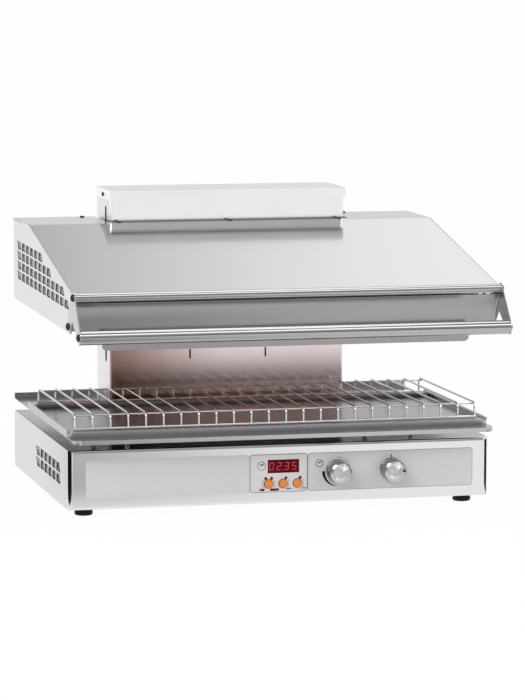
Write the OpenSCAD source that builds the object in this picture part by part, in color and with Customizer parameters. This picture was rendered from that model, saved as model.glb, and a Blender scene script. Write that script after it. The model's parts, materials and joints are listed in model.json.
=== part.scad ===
// Counter-top cheese melter with a hood that lifts on a rear column.
// Millimetres, +Z up. The origin is under the middle of the bounding box, on the table.

/* [Base] */
// Width of the base, the deck and the hood
body_w = 750; // [700:5:820]
// Depth of the base and the hood, front face to back face
body_d = 525; // [505:5:560]
// Height of the base casing
base_h = 103; // [92:1:130]
// Thickness of the casing sheet
sheet_t = 1.5; // [1:0.1:2]
// Depth of the folded edge of the control panel
panel_fold = 13; // [12:0.5:18]
// Corner radius of the control panel's upright edges
panel_r = 9; // [5:0.5:10]
// Corner radius of the control panel's top and bottom edges
panel_edge_r = 5; // [2:0.5:6]
// Height of a rubber foot
foot_h = 15; // [12:0.5:30]
// Diameter of a rubber foot where it stands
foot_d = 32; // [26:1:40]
// Distance of a foot's centre from the side of the base
foot_side = 35; // [28:1:60]
// Distance of a foot's centre from the front or back of the base
foot_front = 46; // [36:1:80]

/* [Side louvres] */
// Height of one louvre in the hood
hood_louvre_h = 14.5; // [10:0.5:16]
// Distance from one row of hood louvres to the next
hood_louvre_row = 18.3; // [17.5:0.1:20]
// Length of one hood louvre with its bar
hood_louvre_pitch = 41; // [36:0.5:50]
// Number of rows of louvres in the hood's sides
hood_louvre_rows = 4; // [2:1:4]
// Height of one louvre in the base
base_louvre_h = 16; // [10:0.5:18]
// Distance from one row of base louvres to the next
base_louvre_row = 20; // [19:0.5:24]
// Length of one base louvre with its bar
base_louvre_pitch = 37.5; // [30:0.5:45]
// Number of louvres in a row in the base
base_louvre_count = 6; // [3:1:8]
// Width of the bar between two louvres
louvre_bar = 7; // [4:0.5:10]
// How far a louvre's end leans over its height
louvre_lean = 9; // [4:0.5:12]

/* [Deck and tray] */
// Air gap between the base and the deck
deck_gap = 21; // [14:0.5:30]
// How far the deck reaches in front of the base
deck_front = 38; // [25:1:50]
// Corner radius of the deck's front corners
deck_r = 20; // [8:1:28]
// Thickness of the hem that goes round the deck's front edge and corners
deck_hem = 3.5; // [2.5:0.5:6]
// How far the hem hangs under the deck
deck_hem_drop = 6; // [2:0.5:8]
// Height of the upstand along the deck's back edge, from the deck's underside
deck_upstand = 11; // [8:0.5:20]
// Diameter of a post under the deck
post_d = 8; // [6:0.5:14]
// Distance of a post from the middle
post_x = 256; // [240:1:300]
// Distance of a front post from the front of the base
post_y = 79; // [40:1:110]
// Distance from the front of the base to the front of the tray
tray_front = 7; // [4:1:20]
// Height of the tray's side walls
tray_wall = 11.5; // [10:0.5:14]
// Height of the ledges along the front and back of the tray
tray_ledge_h = 8.2; // [7:0.2:9.4]
// Depth of those ledges
tray_ledge = 29; // [26:1:36]
// Corner radius of the tray
tray_r = 10; // [6:1:16]
// Gap between the tray and the column
tray_gap = 6; // [3:1:12]

/* [Rack] */
// Number of cross wires in the rack
rack_wires = 24; // [16:1:30]
// Diameter of a rack wire
rack_wire = 3.6; // [3:0.1:5]
// Height of the rack over its ledge, to the top of its wires
rack_h = 29; // [22:1:40]
// Radius at the middle of a bend in a cross wire
rack_bend = 9; // [6:0.5:12]
// Gap between the rack and the tray's side
rack_side = 14; // [8:1:24]
// Gap between a seat and what rests on it
seat_gap = 0.3; // [0.2:0.1:0.5]

/* [Column] */
// Width of the column
col_w = 438; // [420:1:450]
// Depth of the column
col_d = 123; // [116:1:130]
// Radius of the column's front corners
col_r = 4; // [3:0.5:6]
// Height of the lip of the column's cap
cap_lip = 17.5; // [12:0.5:24]
// How far the cap stands in front of the column
cap_front = 6.5; // [3:0.5:7.5]
// Distance of the guide slot's centre from the column's front
slot_y = 43; // [38:1:50]
// Width of the guide slot
slot_w = 14; // [13:0.5:18]
// Diameter of a guide rod
rod_d = 16; // [12:1:20]
// Distance of a guide rod from the middle
rod_x = 175; // [165:1:185]
// Outer diameter of a guide bush
bush_d = 26; // [24:1:28]
// Length of a guide bush
bush_l = 30; // [20:1:40]
// Radial clearance of a running fit
run_gap = 0.05; // [0.02:0.01:0.08]
// Outer diameter of a lifting strut's cylinder
strut_d = 20; // [18:1:24]
// Distance of a lifting strut from the middle
strut_x = 110; // [95:1:125]

/* [Hood] */
// Gap between the rack and the heater's apron as the hood stands
hood_gap = 116; // [105:1:130]
// How far the hood can go down from there
hood_drop = 98; // [70:1:100]
// How far the hood can go up from there
hood_rise = 36; // [20:1:45]
// Height of the hood's back, from its lower edge to its top
hood_back_h = 147.5; // [140:0.5:165]
// How much lower the hood's side ends at the front than at the back
hood_side_fall = 5; // [0:0.5:6]
// Depth of the flat part of the hood's top
hood_flat = 157; // [150:1:170]
// Height that the sloped top falls, back to front
hood_slope_fall = 81.5; // [76:0.5:88]
// How far the slope's lower edge stands in front of the base
hood_front = 41; // [34:1:50]
// Radius of the bend between the flat top and the slope
hood_bend_r = 60; // [20:5:80]
// Gap between the hood's recess and the column
recess_gap = 6.5; // [5:0.5:10]
// Radius of the hollow front of the hood
hollow_r = 70.5; // [66:0.5:76]
// Diameter of the upper front tube
upper_tube_d = 16; // [12:0.5:18]
// Diameter of the lower front tube, the handle
handle_tube_d = 24; // [18:0.5:28]
// Wall thickness of the front tubes
tube_wall = 1.5; // [1:0.1:2.5]
// How far the upper tube's centre stands in front of the slope
upper_tube_out = 15; // [13:0.5:18]
// How far the handle's centre stands in front of the upper tube's
handle_out = 50; // [40:1:60]
// How far the handle's centre lies under the upper tube's
handle_down = 62; // [55:1:70]
// Thickness of the handle's end plates
plate_t = 2; // [1.5:0.5:5]
// Diameter of a handle bolt's domed head
bolt_head_d = 13; // [11:0.5:16]

/* [Heater] */
// Depth of the heater cassette under the hood
cassette_h = 22.5; // [22:0.5:30]
// How far the apron in front of the cassette hangs under it
apron_drop = 10; // [4:0.5:14]
// Distance of the cassette from the hood's side
cassette_side = 52; // [45:1:70]
// How far the cassette stands in front of the base
cassette_front = 38; // [30:1:42]
// Corner radius of the cassette
cassette_r = 10; // [6:1:16]
// Width of the lip round the cassette's mouth
cassette_lip = 14; // [8:1:20]
// Number of heating tubes
heat_tubes = 6; // [4:1:7]
// Diameter of a heating tube
heat_tube_d = 11; // [8:0.5:12]
// Number of guard bars
guard_bars = 15; // [9:1:21]
// Diameter of a guard bar
guard_d = 3; // [2.5:0.5:4]

/* [Controls] */
// Height of the knobs' centres over the base's lower edge
knob_z = 53.2; // [46:0.1:54]
// Place of the left knob, from the middle
knob_left_x = 99.5; // [96:0.5:110]
// Place of the right knob, from the middle
knob_right_x = 197; // [180:0.5:220]
// Diameter of a knob
knob_d = 41; // [36:1:48]
// Height of a knob over the panel
knob_h = 30; // [20:1:36]
// Diameter of a knob's shaft
shaft_d = 6; // [5:0.5:8]
// Left edge of the timer's bezel, from the middle
bezel_x0 = -56.8; // [-60:0.1:-54]
// Width of the timer's bezel
bezel_w = 102.8; // [100:0.1:103]
// Height of the timer's bezel and the label plates
bezel_h = 66.5; // [60:0.5:72]
// Thickness of the timer's bezel
bezel_t = 1.5; // [1:0.1:2.5]
// Lower edge of the bezel over the base's lower edge
bezel_z = 19.5; // [15:0.5:20]
// Corner radius of the bezel and the label plates
bezel_r = 5; // [2:0.5:8]
// Width of the display window
window_w = 56.3; // [50:0.5:60]
// Height of the display window
window_h = 23.5; // [18:0.5:26]
// Diameter of a push button
button_d = 14.2; // [11:0.2:15]
// Distance between two push buttons
button_pitch = 25.8; // [22:0.2:28]
// How far a button stands out of the bezel
button_out = 3.5; // [2.5:0.5:5]
// How far a button can be pushed in
button_travel = 1.2; // [0.8:0.1:1.6]

/* [Hidden] */
$fn = 48;

// A sliver that lets a cutter pass through a face
cut = 1;
// Gap between two casing sheets that meet
fit = 0.3;

half_w = body_w / 2;
inner_w = half_w - sheet_t - fit;

// Heights, from the table up
base_z0 = foot_h;
base_z1 = base_z0 + base_h;
deck_z0 = base_z1 + deck_gap;
deck_z1 = deck_z0 + sheet_t;
tray_z0 = deck_z1;
ledge_z = tray_z0 + tray_ledge_h;
rack_z0 = ledge_z + seat_gap;
rack_z1 = rack_z0 + rack_h;
apron_z0 = rack_z1 + hood_gap;
cassette_z0 = apron_z0 + apron_drop;
cassette_z1 = cassette_z0 + cassette_h;
hood_z0 = cassette_z1;
hood_z1 = hood_z0 + hood_back_h;
side_z0 = hood_z0 - hood_side_fall;
cap_clear = 2.5;
cap_z0 = hood_z1 + hood_rise + cap_clear;
cap_z1 = cap_z0 + cap_lip;

// Depths, from the front face of the base backwards
col_y1 = body_d;
col_y0 = col_y1 - col_d;
cap_y0 = col_y0 - cap_front;
tray_y0 = tray_front;
tray_y1 = col_y0 - tray_gap;
recess_y0 = cap_y0 - 1;
flat_y = body_d - hood_flat;
slope_y = -hood_front;
slope_z = hood_z1 - hood_slope_fall;
slope_rate = hood_slope_fall / (flat_y - slope_y);
tube_y = slope_y - upper_tube_out;
tube_z = slope_z - 6;
handle_y = tube_y - handle_out;
handle_z = tube_z - handle_down;

// Column
half_col = col_w / 2;
recess_x = half_col + recess_gap;
cap_over = 1.5;
cap_screw_y = col_y0 + 61;
cap_screw_z = cap_z0 + 7;
slot_cy = col_y0 + slot_y;
rod_y = slot_cy + 25;
strut_y = rod_y;
arm_h = 24;
arm_t = slot_w - 4;
arm_low = hood_z0 + 2;
arm_high = hood_z1 - 13.5 - arm_h;
slot_z0 = arm_low - hood_drop - 17;
slot_z1 = arm_high + arm_h + hood_rise + 3;
block_w = bush_d + 10;
screw_r = 2;

// Origin under the middle of the bounding box
front_reach = handle_y - handle_tube_d / 2;
back_reach = body_d + 18;
mid_y = (front_reach + back_reach) / 2;

steel = [0.78, 0.78, 0.79];
dark_steel = [0.45, 0.45, 0.46];
rubber = [0.06, 0.06, 0.06];

module place() {
    translate([0, -mid_y, 0]) children();
}

// A block between two corners
module block(x0, x1, y0, y1, z0, z1) {
    translate([x0, y0, z0]) cube([x1 - x0, y1 - y0, z1 - z0]);
}

// A rectangle with round corners, from its lower left corner
module round_rect(w, h, r) {
    if (w > 2 * r) translate([r, 0]) square([w - 2 * r, h]);
    translate([0, r]) square([w, h - 2 * r]);
    for (x = [r, w - r], y = [r, h - r]) translate([x, y]) circle(r);
}

// A drawing of (y, z) made solid from x0 to x1
module along_x(x0, x1) {
    translate([x0, 0, 0]) rotate([90, 0, 90]) linear_extrude(x1 - x0) children();
}

// A drawing of (x, z) made solid from y0 to y1
module along_y(y0, y1) {
    translate([0, y1, 0]) rotate([90, 0, 0]) linear_extrude(y1 - y0) children();
}

// A rod along y
module rod_y_dir(x, z, y0, y1, r) {
    translate([x, y0, z]) rotate([-90, 0, 0]) cylinder(r = r, h = y1 - y0);
}

// A rod along x
module rod_x_dir(y, z, x0, x1, r) {
    translate([x0, y, z]) rotate([0, 90, 0]) cylinder(r = r, h = x1 - x0);
}

// Points of an arc round a centre
function arc(c, r, a0, a1, n) =
    [for (i = [0 : n]) let (a = a0 + (a1 - a0) * i / n) [c[0] + r * cos(a), c[1] + r * sin(a)]];

// One row of louvres: y runs from start towards the front, z from top down, and fall tips the row
module louvre_row(start, top, count, pitch, h, fall = 0) {
    translate([start, top]) rotate(fall) translate([-start, -top])
        louvre_cells(start, top, count, pitch, h);
}

module louvre_cells(start, top, count, pitch, h) {
    lean = louvre_lean / 2;
    bar = louvre_bar / 2;
    for (k = [0 : count - 1]) {
        back = start - lean - k * pitch;
        front = back - pitch;
        back_top = k == 0 ? back + lean : back - lean / 2 - bar;
        back_low = k == 0 ? back - lean : back + lean / 2 - bar;
        front_top = k == count - 1 ? front + lean : front - lean / 2 + bar;
        front_low = k == count - 1 ? front - lean : front + lean / 2 + bar;
        polygon([[back_top, top], [back_low, top - h], [front_low, top - h], [front_top, top]]);
    }
}

// ---------------------------------------------------------------- base

base_top_y0 = panel_fold + fit;
screw_head = 2.2;
screw_head_r = 4.5;
lip_w = 12;
lip_z = [base_z0 + 18, base_z1 - 18];
lip_x = half_w - sheet_t - lip_w / 2;
gland_x = 95 - half_w;
terminals_y = body_d - 82;
contactor_y = body_d - 200;
gland_z = base_z0 + 40;
gland_r = 12;
bay_x = half_col - 14;
bay_y0 = col_y0 + 20;
bay_y1 = col_y1 - 14;

function foot_places() =
    [for (sx = [-1, 1], y = [foot_front, body_d - foot_front]) [sx * (half_w - foot_side), y]];

module base_floor() {
    color(steel) difference() {
        block(-inner_w, inner_w, base_top_y0, body_d - sheet_t - fit, base_z0, base_z0 + sheet_t);
        for (p = foot_places()) translate([p[0], p[1], base_z0 - cut]) cylinder(r = 3.3, h = sheet_t + 2 * cut);
        for (x = [-60 : 24 : 60])
            translate([x, body_d * 0.32, base_z0 - cut]) linear_extrude(sheet_t + 2 * cut)
                round_rect(10, 80, 5);
    }
}

module base_side() {
    louvre_top = base_z1 - 33;
    color(steel) difference() {
        union() {
            block(half_w - sheet_t, half_w, base_top_y0, body_d, base_z0, base_z1);
            block(half_w - sheet_t - lip_w, half_w - sheet_t, body_d - 2 * sheet_t - fit,
                  body_d - sheet_t - fit, base_z0 + sheet_t + fit, base_z1 - sheet_t - fit);
        }
        along_x(half_w - sheet_t - cut, half_w + cut)
            for (row = [0, 1])
                louvre_row(308, louvre_top - row * base_louvre_row, base_louvre_count,
                           base_louvre_pitch, base_louvre_h);
        for (z = lip_z) rod_y_dir(lip_x, z, body_d - 10, body_d + cut, screw_r + run_gap);
    }
}

module base_side_right() {
    base_side();
}

module base_side_left() {
    mirror([1, 0, 0]) base_side();
}

module base_back() {
    color(steel) difference() {
        block(-inner_w, inner_w, body_d - sheet_t, body_d, base_z0 + sheet_t + fit, base_z1 - sheet_t - fit);
        for (sx = [-1, 1], z = lip_z)
            rod_y_dir(sx * lip_x, z, body_d - 10, body_d + cut, screw_r + run_gap);
        rod_y_dir(gland_x, gland_z, body_d - 10, body_d + cut, gland_r + fit);
        along_y(body_d - 10, body_d + cut)
            for (x = [-150 : 20 : 150]) translate([x - 4, base_z0 + 28]) round_rect(8, 44, 4);
    }
}

module base_top() {
    color(steel) difference() {
        block(-inner_w, inner_w, base_top_y0, body_d - fit, base_z1 - sheet_t, base_z1);
        block(-bay_x, bay_x, bay_y0, bay_y1, base_z1 - 10, base_z1 + cut);
    }
}

module base_screws() {
    color(steel) for (sx = [-1, 1], z = lip_z) {
        rod_y_dir(sx * lip_x, z, body_d, body_d + screw_head, screw_head_r);
        rod_y_dir(sx * lip_x, z, body_d - 9, body_d, screw_r);
    }
}

module rubber_feet() {
    color(rubber) for (p = foot_places()) translate([p[0], p[1], 0]) difference() {
        union() {
            cylinder(d1 = foot_d - 6, d2 = foot_d, h = 3);
            translate([0, 0, 3]) cylinder(d1 = foot_d, d2 = foot_d - 4, h = base_z0 - 3);
        }
        translate([0, 0, 5]) cylinder(r = 3 + run_gap, h = base_z0);
        translate([0, 0, -cut]) cylinder(r = 7.5, h = cut + 5);
    }
}

module foot_screws() {
    color(steel) for (p = foot_places()) translate([p[0], p[1], 0]) {
        translate([0, 0, 2]) cylinder(r = 6, h = 3);
        translate([0, 0, 5]) cylinder(r = 3, h = base_z0 + sheet_t - 5);
        translate([0, 0, base_z0 + sheet_t]) cylinder(r = 5.5, h = 5, $fn = 6);
    }
}

// ---------------------------------------------------------------- controls

bezel_z0 = base_z0 + bezel_z;
bezel_x1 = bezel_x0 + bezel_w;
bezel_cx = bezel_x0 + bezel_w / 2;
knob_cz = base_z0 + knob_z;
button_cx = bezel_cx + 7.5;
button_cz = bezel_z0 + 15;
window_x0 = bezel_cx - window_w / 2 + 8.3;
window_z0 = bezel_z0 + bezel_h - 9.5 - window_h;
lamp_z = button_cz + 9.5;
lamp_r = 1.4;
label_t = 0.6;
label_gap = 0.8;
label_x = half_w - 30;
window_lip = 2;
knob_gap = 1;
// Width and height of the knob's sloping shoulder
knob_shoulder = 4.5;
switch_w = 34;
switch_d = 30;
bush_front = 9;
board_y = sheet_t + 9;

function button_x(i) = button_cx + (i - 1) * button_pitch;
function lamp_places() = [button_x(0) - 5, button_x(0) + 5.5, button_x(1) + 5.5, button_x(2) + 5];

// Plan of the control panel, grown inwards by t
module panel_plan(t) {
    r = panel_r - t;
    w = half_w - t;
    translate([-w + r, t]) square([2 * (w - r), panel_fold]);
    translate([-w, t + r]) square([2 * w, panel_fold]);
    for (sx = [-1, 1]) translate([sx * (w - r), t + r]) circle(r);
}

// Section of the control panel, grown inwards by t
module panel_section(t) {
    r = max(panel_edge_r - t, 0.5);
    h = base_h - 2 * t;
    translate([t, base_z0 + t + r]) square([panel_fold + cut, h - 2 * r]);
    translate([t + r, base_z0 + t]) square([panel_fold + cut, h]);
    for (z = [base_z0 + t + r, base_z1 - t - r]) translate([t + r, z]) circle(r);
}

module panel_body(t) {
    back = panel_fold + (t > 0 ? cut : 0);
    intersection() {
        translate([0, 0, base_z0 - cut]) linear_extrude(base_h + 2 * cut) panel_plan(t);
        along_x(-body_w, body_w) panel_section(t);
        block(-body_w, body_w, -cut, back, base_z0 - cut, base_z1 + cut);
    }
}

module front_panel() {
    color(steel) difference() {
        panel_body(0);
        panel_body(sheet_t);
        for (x = [knob_left_x, knob_right_x]) rod_y_dir(x, knob_cz, -cut, 10, 5 + fit);
        for (i = [0 : 2]) rod_y_dir(button_x(i), button_cz, -cut, 10, button_d / 2 + 1.4);
        for (x = lamp_places()) rod_y_dir(x, lamp_z, -cut, 10, lamp_r + 0.2);
        block(window_x0 + window_lip, window_x0 + window_w - window_lip, -cut, 10,
              window_z0 + window_lip, window_z0 + window_h - window_lip);
    }
}

module label_plate(x0, x1) {
    along_y(-label_t, 0) translate([x0, bezel_z0]) round_rect(x1 - x0, bezel_h, bezel_r);
}

module label_plates() {
    color([0.84, 0.84, 0.85]) {
        label_plate(-label_x, bezel_x0 - label_gap);
        difference() {
            label_plate(bezel_x1 + label_gap, label_x);
            for (x = [knob_left_x, knob_right_x]) rod_y_dir(x, knob_cz, -10, 10, 5 + fit);
        }
    }
}

module timer_bezel() {
    color([0.75, 0.75, 0.76]) difference() {
        along_y(-bezel_t, 0) translate([bezel_x0, bezel_z0]) round_rect(bezel_w, bezel_h, bezel_r);
        block(window_x0, window_x0 + window_w, -10, cut, window_z0, window_z0 + window_h);
        for (i = [0 : 2]) rod_y_dir(button_x(i), button_cz, -10, cut, button_d / 2 + fit);
        for (x = lamp_places()) rod_y_dir(x, lamp_z, -10, cut, lamp_r + 0.2);
    }
}

module display_window() {
    color([0.12, 0.02, 0.02])
        block(window_x0 + fit, window_x0 + window_w - fit, -bezel_t, 0,
              window_z0 + fit, window_z0 + window_h - fit);
}

// Circuit board with the digit block and a switch behind each button
module display_board() {
    board_x0 = bezel_x0 + 6;
    board_x1 = bezel_x1 - 6;
    board_z0 = bezel_z0 + 4;
    board_z1 = bezel_z0 + bezel_h - 4;
    color([0.1, 0.35, 0.18]) block(board_x0, board_x1, board_y, board_y + 1.6, board_z0, board_z1);
    color([0.15, 0.15, 0.15])
        block(window_x0 + window_lip + fit, window_x0 + window_w - window_lip - fit, fit, board_y,
              window_z0 + window_lip + fit, window_z0 + window_h - window_lip - fit);
    color([0.2, 0.2, 0.2]) for (i = [0 : 2])
        block(button_x(i) - 3, button_x(i) + 3, board_y - 3.5, board_y, button_cz - 3, button_cz + 3);
    color([0.75, 0.75, 0.76]) for (x = [board_x0 + 3, board_x1 - 3], z = [board_z0 + 3, board_z1 - 3])
        rod_y_dir(x, z, sheet_t, board_y, 2);
}

module signal_lamps() {
    color([0.5, 0.05, 0.03]) for (x = lamp_places()) rod_y_dir(x, lamp_z, -bezel_t, board_y - fit, lamp_r);
}

// A push button: cap, collar behind the bezel and a stem that ends over its switch
module button(i) {
    stem_y = board_y - 3.5 - button_travel - fit;
    color([0.9, 0.42, 0.1]) {
        rod_y_dir(button_x(i), button_cz, -bezel_t - button_out, fit, button_d / 2);
        rod_y_dir(button_x(i), button_cz, fit, fit + 1.2, button_d / 2 + 1);
        rod_y_dir(button_x(i), button_cz, fit + 1.2, stem_y, 2);
    }
}

module button_left() {
    button(0);
}

module button_middle() {
    button(1);
}

module button_right() {
    button(2);
}

// A knob with a skirt, hollow behind, on a sleeve for its shaft
module knob(x) {
    y1 = -label_t - knob_gap;
    y0 = y1 - knob_h;
    color([0.72, 0.72, 0.73]) {
        difference() {
            union() {
                translate([x, y0 + knob_shoulder, knob_cz]) rotate([90, 0, 0])
                    cylinder(r1 = knob_d / 2 - 1, r2 = knob_d / 2 - 1 - knob_shoulder, h = knob_shoulder);
                rod_y_dir(x, knob_cz, y0 + knob_shoulder, y1 - 3, knob_d / 2 - 1);
                rod_y_dir(x, knob_cz, y1 - 3, y1, knob_d / 2);
            }
            rod_y_dir(x, knob_cz, y0 + 3, y1 + cut, knob_d / 2 - 4.5);
        }
        difference() {
            rod_y_dir(x, knob_cz, y0 + 2.5, y1 - 1, shaft_d / 2 + 3);
            rod_y_dir(x, knob_cz, y0 + 4, y1, shaft_d / 2 + run_gap);
        }
    }
}

module knob_left() {
    knob(knob_left_x);
}

module knob_right() {
    knob(knob_right_x);
}

module knob_shaft(x) {
    y0 = -label_t - knob_gap - knob_h + 4;
    color(steel) rod_y_dir(x, knob_cz, y0, sheet_t + 20, shaft_d / 2);
}

module knob_left_shaft() {
    knob_shaft(knob_left_x);
}

module knob_right_shaft() {
    knob_shaft(knob_right_x);
}

// The two rotary controls behind the panel, each with a bush through it
module rotary_controls() {
    color([0.2, 0.2, 0.21]) for (x = [knob_left_x, knob_right_x]) difference() {
        union() {
            block(x - switch_w / 2, x + switch_w / 2, sheet_t, sheet_t + switch_d,
                  knob_cz - switch_w / 2, knob_cz + switch_w / 2);
            rod_y_dir(x, knob_cz, -label_t, sheet_t + cut, 5);
        }
        rod_y_dir(x, knob_cz, -10, sheet_t + 21, shaft_d / 2 + run_gap);
    }
}

// Terminals by the cable gland and the contactor in front of them
module mains_parts() {
    z = base_z0 + sheet_t;
    color([0.85, 0.83, 0.76]) difference() {
        block(gland_x - 40, gland_x + 40, terminals_y - 13, terminals_y + 13, z, z + 28.5);
        for (i = [-2 : 2])
            translate([gland_x + i * 15, terminals_y, z + 16.5]) cylinder(r = 3.2, h = 20);
    }
    color([0.3, 0.3, 0.32]) {
        block(gland_x + 5, gland_x + 55, contactor_y - 25, contactor_y + 25, z, z + 58);
        block(gland_x + 10, gland_x + 50, contactor_y - 20, contactor_y + 20, z + 57, z + 66.5);
    }
}

// Cable gland in the back, ready for a mains lead
module cable_gland() {
    color([0.1, 0.1, 0.1]) difference() {
        union() {
            rod_y_dir(gland_x, gland_z, body_d - 14, body_d, gland_r);
            translate([gland_x, body_d + 5, gland_z]) rotate([90, 0, 0]) cylinder(r = 15, h = 5, $fn = 6);
            rod_y_dir(gland_x, gland_z, body_d + 5, back_reach, gland_r);
            translate([gland_x, body_d - sheet_t, gland_z]) rotate([90, 0, 0]) cylinder(r = 15, h = 5, $fn = 6);
        }
        rod_y_dir(gland_x, gland_z, body_d - 20, back_reach + cut, 5.5);
    }
}

// ---------------------------------------------------------------- deck, tray and rack

deck_hole_x = half_col + 0.8;
deck_hole_y = col_y0 - 0.8;

function post_places() = [for (sx = [-1, 1], y = [post_y, tray_y1 - 16]) [sx * post_x, y]];

module deck() {
    color(steel) difference() {
        union() {
            translate([0, 0, deck_z0]) linear_extrude(sheet_t) deck_plan(0);
            translate([0, 0, deck_z0 - deck_hem_drop]) linear_extrude(deck_hem_drop) difference() {
                deck_plan(0);
                deck_plan(deck_hem);
                translate([-body_w, -deck_front + deck_r]) square([2 * body_w, body_d * 2]);
            }
            for (sx = [-1, 1])
                block(min(sx * half_w, sx * deck_hole_x), max(sx * half_w, sx * deck_hole_x),
                      body_d - sheet_t, body_d, deck_z0, deck_z0 + deck_upstand);
        }
        block(-deck_hole_x, deck_hole_x, deck_hole_y, body_d + cut, deck_z0 - cut, deck_z1 + 40);
    }
}

// Outline of the deck with its round front corners, its front and sides moved inwards by t
module deck_plan(t) {
    translate([-half_w + t, -deck_front + deck_r])
        square([body_w - 2 * t, body_d + deck_front - deck_r]);
    translate([-half_w + deck_r, -deck_front + t]) square([body_w - 2 * deck_r, deck_r + cut - t]);
    for (sx = [-1, 1]) translate([sx * (half_w - deck_r), -deck_front + deck_r]) circle(deck_r - t);
}

module deck_posts() {
    color(steel) for (p = post_places())
        translate([p[0], p[1], base_z1]) cylinder(d = post_d, h = deck_gap);
}

// Outline of the tray, grown inwards by t
module tray_plan(t) {
    translate([-half_w + t, tray_y0 + t])
        round_rect(body_w - 2 * t, tray_y1 - tray_y0 - 2 * t, tray_r - t);
}

module drip_tray() {
    floor_t = 1.2;
    wall_t = 2;
    color(steel) difference() {
        translate([0, 0, tray_z0]) linear_extrude(tray_wall) tray_plan(0);
        // the room between the side walls, open at the front and back above the ledges
        block(-half_w + wall_t, half_w - wall_t, tray_y0 - cut, tray_y1 + cut, ledge_z, tray_z0 + 60);
        // the basin
        translate([0, 0, tray_z0 + floor_t]) linear_extrude(60)
            translate([-half_w + wall_t, tray_y0 + tray_ledge])
                round_rect(body_w - 2 * wall_t, tray_y1 - tray_y0 - 2 * tray_ledge, tray_r);
        // the hollow under each ledge
        for (y = [tray_y0 + wall_t, tray_y1 - tray_ledge - cut])
            block(-half_w + tray_r, half_w - tray_r, y, y + tray_ledge - wall_t + cut,
                  tray_z0 - cut, ledge_z - wall_t);
    }
}

// The foot wires are a little thicker than the cross wires, the tie wires a little thinner
foot_wire_r = rack_wire / 2 + 0.5;
tie_wire_r = rack_wire / 2 - 0.2;
rack_half = half_w - rack_side - foot_wire_r - 1;
rack_y0 = tray_y0 + tray_ledge - 6;
rack_y1 = tray_y1 - tray_ledge + 6;
rack_top = rack_z1 - rack_wire / 2;
rack_low = rack_z0 + foot_wire_r;

// A cross wire: over the top, round a bend at each end and down to the foot wires
module cross_wire(x) {
    r = rack_wire / 2;
    rod_y_dir(x, rack_top, rack_y0 + rack_bend, rack_y1 - rack_bend, r);
    for (e = [0, 1]) {
        y = e == 0 ? rack_y0 : rack_y1;
        translate([x, y, rack_low]) cylinder(r = r, h = rack_top - rack_bend - rack_low);
        translate([x, e == 0 ? y + rack_bend : y - rack_bend, rack_top - rack_bend])
            rotate([90, 0, e == 0 ? -90 : 90])
                rotate_extrude(angle = 90) translate([rack_bend, 0]) circle(r, $fn = 24);
    }
}

module wire_rack() {
    pitch = 2 * rack_half / (rack_wires - 1);
    end = rack_half + rack_wire / 2 + 1;
    color([0.8, 0.8, 0.8]) {
        for (i = [0 : rack_wires - 1]) cross_wire(-rack_half + i * pitch);
        for (y = [rack_y0, rack_y1]) rod_x_dir(y, rack_low, -end, end, foot_wire_r);
        for (y = [rack_y0 + rack_bend + 2, rack_y1 - rack_bend - 2])
            rod_x_dir(y, rack_top - rack_wire / 2 - tie_wire_r + 0.5, -end, end, tie_wire_r);
    }
}

// ---------------------------------------------------------------- column

col_top = cap_z1 - sheet_t - fit;
col_return = 10;

module column_plan(t) {
    r = col_r - t;
    w = half_col - t;
    over = t > 0 ? cut : 0;
    translate([-w + r, col_y0 + t]) square([2 * (w - r), col_return - t + over]);
    translate([-w, col_y0 + t + r]) square([2 * w, col_return - t - r + over]);
    for (sx = [-1, 1]) translate([sx * (w - r), col_y0 + t + r]) circle(r);
}

clip_x = 71;
clip_z = rack_z1 + 51;

module column_front() {
    color(steel) difference() {
        translate([0, 0, base_z1]) linear_extrude(col_top - base_z1) column_plan(0);
        translate([0, 0, base_z1 - cut]) linear_extrude(col_top) column_plan(sheet_t);
        for (sx = [-1, 1])
            along_y(col_y0 - cut, col_y0 + 5) translate([sx * clip_x - 1.5, clip_z - 9]) round_rect(3, 18, 1.5);
    }
}

module column_side() {
    color(steel) difference() {
        block(half_col - sheet_t, half_col, col_y0 + col_return + fit, col_y1, base_z1, col_top);
        along_x(half_col - 10, half_col + cut)
            translate([slot_cy - slot_w / 2, slot_z0]) round_rect(slot_w, slot_z1 - slot_z0, slot_w / 2);
        rod_x_dir(cap_screw_y, cap_screw_z, half_col - 10, half_col + cut, screw_r + 0.2);
    }
}

module column_side_right() {
    column_side();
}

module column_side_left() {
    mirror([1, 0, 0]) column_side();
}

module column_back() {
    w = half_col - sheet_t - fit;
    color(steel) {
        block(-w, w, col_y1 - sheet_t, col_y1, base_z1, col_top);
        for (sx = [-1, 1]) mirror([sx < 0 ? 1 : 0, 0, 0])
            block(w - sheet_t, w, col_y1 - sheet_t - lip_w, col_y1 - sheet_t, base_z1, col_top);
    }
}

module column_cap() {
    x = half_col + cap_over;
    color(steel) difference() {
        block(-x, x, cap_y0, col_y1 + sheet_t + fit, cap_z0, cap_z1);
        block(-x + sheet_t - 0.3, x - sheet_t + 0.3, cap_y0 + sheet_t, col_y1 + fit, cap_z0 - cut, cap_z1 - sheet_t);
        for (e = [-x - cut, x - 5]) rod_x_dir(cap_screw_y, cap_screw_z, e, e + 5 + cut, screw_r + 0.2);
    }
}

// Screws through the cap's sides into the column
module column_screws() {
    x = half_col + cap_over;
    color(dark_steel) for (sx = [-1, 1]) mirror([sx < 0 ? 1 : 0, 0, 0]) {
        rod_x_dir(cap_screw_y, cap_screw_z, x, x + screw_head, 4);
        rod_x_dir(cap_screw_y, cap_screw_z, half_col - 8, x, screw_r);
    }
}

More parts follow.
